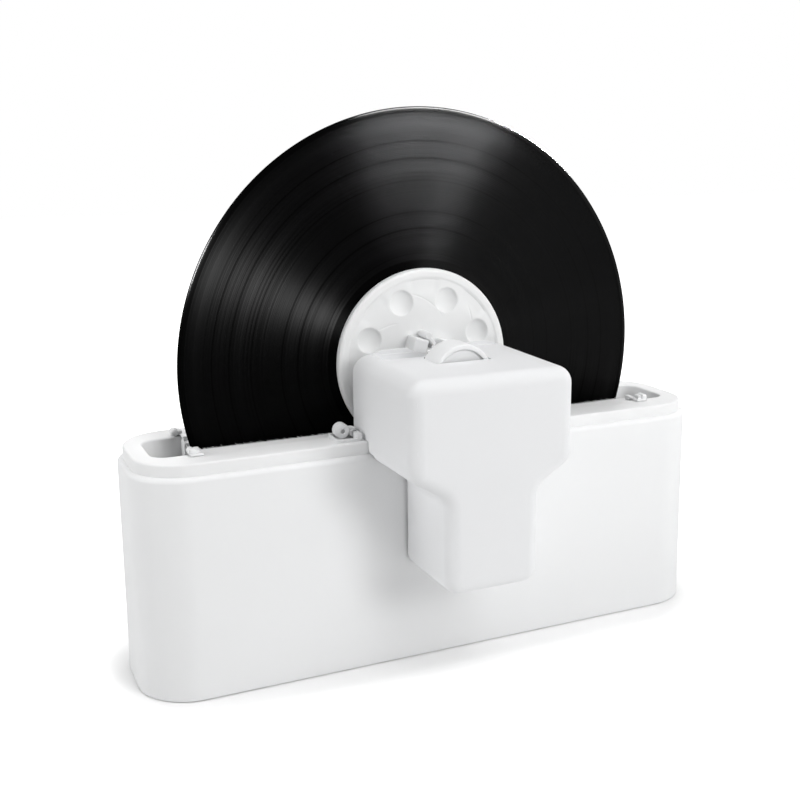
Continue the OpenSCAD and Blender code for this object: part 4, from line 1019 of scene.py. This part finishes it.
def bristleTree(b):
    tree = bpy.data.node_groups.new("bristleField", "GeometryNodeTree")
    face = tree.interface
    face.new_socket("Geometry", in_out="INPUT", socket_type="NodeSocketGeometry")
    sockets = {}
    for label, kind, value in (("Columns", "Int", b["columns"]), ("Rows", "Int", b["rows"]),
                               ("Length", "Float", (b["x1"] - b["x0"]) * mm),
                               ("Height", "Float", (b["high"] - b["low"]) * mm),
                               ("Reach", "Float", (b["root"] - b["tip"]) * mm),
                               ("Thickness", "Float", b["thick"] * mm), ("Seed", "Int", b["seed"])):
        socket = face.new_socket(label, in_out="INPUT", socket_type="NodeSocket" + kind)
        socket.default_value = value
        sockets[label] = socket.identifier
    finishSocket = face.new_socket("Finish", in_out="INPUT", socket_type="NodeSocketMaterial")
    sockets["Finish"] = finishSocket.identifier
    face.new_socket("Geometry", in_out="OUTPUT", socket_type="NodeSocketGeometry")
    inlet = addNode(tree, "NodeGroupInput", {}).outputs
    seed, shift, lean = inlet["Seed"], b["jitter"] * mm, b["lean"]
    grid = addNode(tree, "GeometryNodeMeshGrid", {
        "Size X": inlet["Length"], "Size Y": inlet["Height"], "Vertices X": inlet["Columns"],
        "Vertices Y": inlet["Rows"]})
    jitter = addNode(tree, "FunctionNodeRandomValue", {
        0: (-shift, -shift, 0), 1: (shift, shift, 0), "Seed": seed}, data_type="FLOAT_VECTOR")
    shake = addNode(tree, "GeometryNodeSetPosition", {
        "Geometry": grid.outputs["Mesh"], "Offset": jitter.outputs[0]})
    strand = addNode(tree, "GeometryNodeMeshCone", {
        "Vertices": b["sides"], "Side Segments": 2, "Radius Top": b["tipR"] * mm,
        "Radius Bottom": inlet["Thickness"], "Depth": inlet["Reach"]})
    turn = addNode(tree, "FunctionNodeRandomValue", {
        0: (-lean, -lean, 0), 1: (lean, lean, b["turn"]), "Seed": seed}, data_type="FLOAT_VECTOR")
    size = addNode(tree, "FunctionNodeRandomValue", {
        2: b["shortest"], 3: 1.0, "Seed": seed}, data_type="FLOAT")
    spread = addNode(tree, "GeometryNodeInstanceOnPoints", {
        "Points": shake.outputs["Geometry"], "Instance": strand.outputs["Mesh"],
        "Rotation": turn.outputs[0], "Scale": size.outputs[1]})
    real = addNode(tree, "GeometryNodeRealizeInstances", {"Geometry": spread.outputs["Instances"]})
    finish = addNode(tree, "GeometryNodeSetMaterial", {
        "Geometry": real.outputs["Geometry"], "Material": inlet["Finish"]})
    addNode(tree, "NodeGroupOutput", {0: finish.outputs["Geometry"]})
    return tree, sockets


bristleField, bristleSockets = bristleTree(bristle)


def buildBristles(name, b, sideX, sideY, node, body):
    piece = addObject(name, bpy.data.meshes.new(name))
    seed = b["seed"] + (b["rightSeed"] if sideX > 0 else 0) + (b["rearSeed"] if sideY > 0 else 0)
    grow = piece.modifiers.new("bristles", "NODES")
    grow.node_group = bristleField
    grow[bristleSockets["Finish"]] = bristleWhite
    grow[bristleSockets["Seed"]] = seed
    applyModifiers(piece)
    made = piece.data
    # the field is made flat: its strands stand along Z, and turn to point from the bar to the record
    made.transform(Matrix(((1, 0, 0, 0), (0, 0, 1, 0), (0, -1, 0, 0), (0, 0, 0, 1))))
    if sideY > 0:
        made.transform(Matrix.Diagonal((1, -1, 1, 1)))
        made.flip_normals()
    centre = Vector((sideX * (b["x0"] + b["x1"]) / 2, sideY * b["root"] + place["planeY"],
                     (b["low"] + b["high"]) / 2))
    made.transform(Matrix.Translation(centre * mm))
    x0, x1 = sorted((sideX * b["x0"], sideX * b["x1"]))
    y0, y1 = sorted((sideY * b["root"], sideY * (b["root"] + b["backing"])))
    backing = boxPiece("backing", (x0, y0, b["low"]), (x1, y1, b["high"]), bristleWhite)
    piece = joinPieces(name, [piece, backing])
    softenByAngle(piece, 60)
    finishPiece(piece, body, node)


buildBristles("bristlesFrontLeft", bristle, -1, -1, "front_left_bristles", "front_brush")
buildBristles("bristlesFrontRight", bristle, 1, -1, "front_right_bristles", "front_brush")
buildBristles("bristlesRearLeft", bristle, -1, 1, "rear_left_bristles", "rear_brush")
buildBristles("bristlesRearRight", bristle, 1, 1, "rear_right_bristles", "rear_brush")
print("bristles are built")
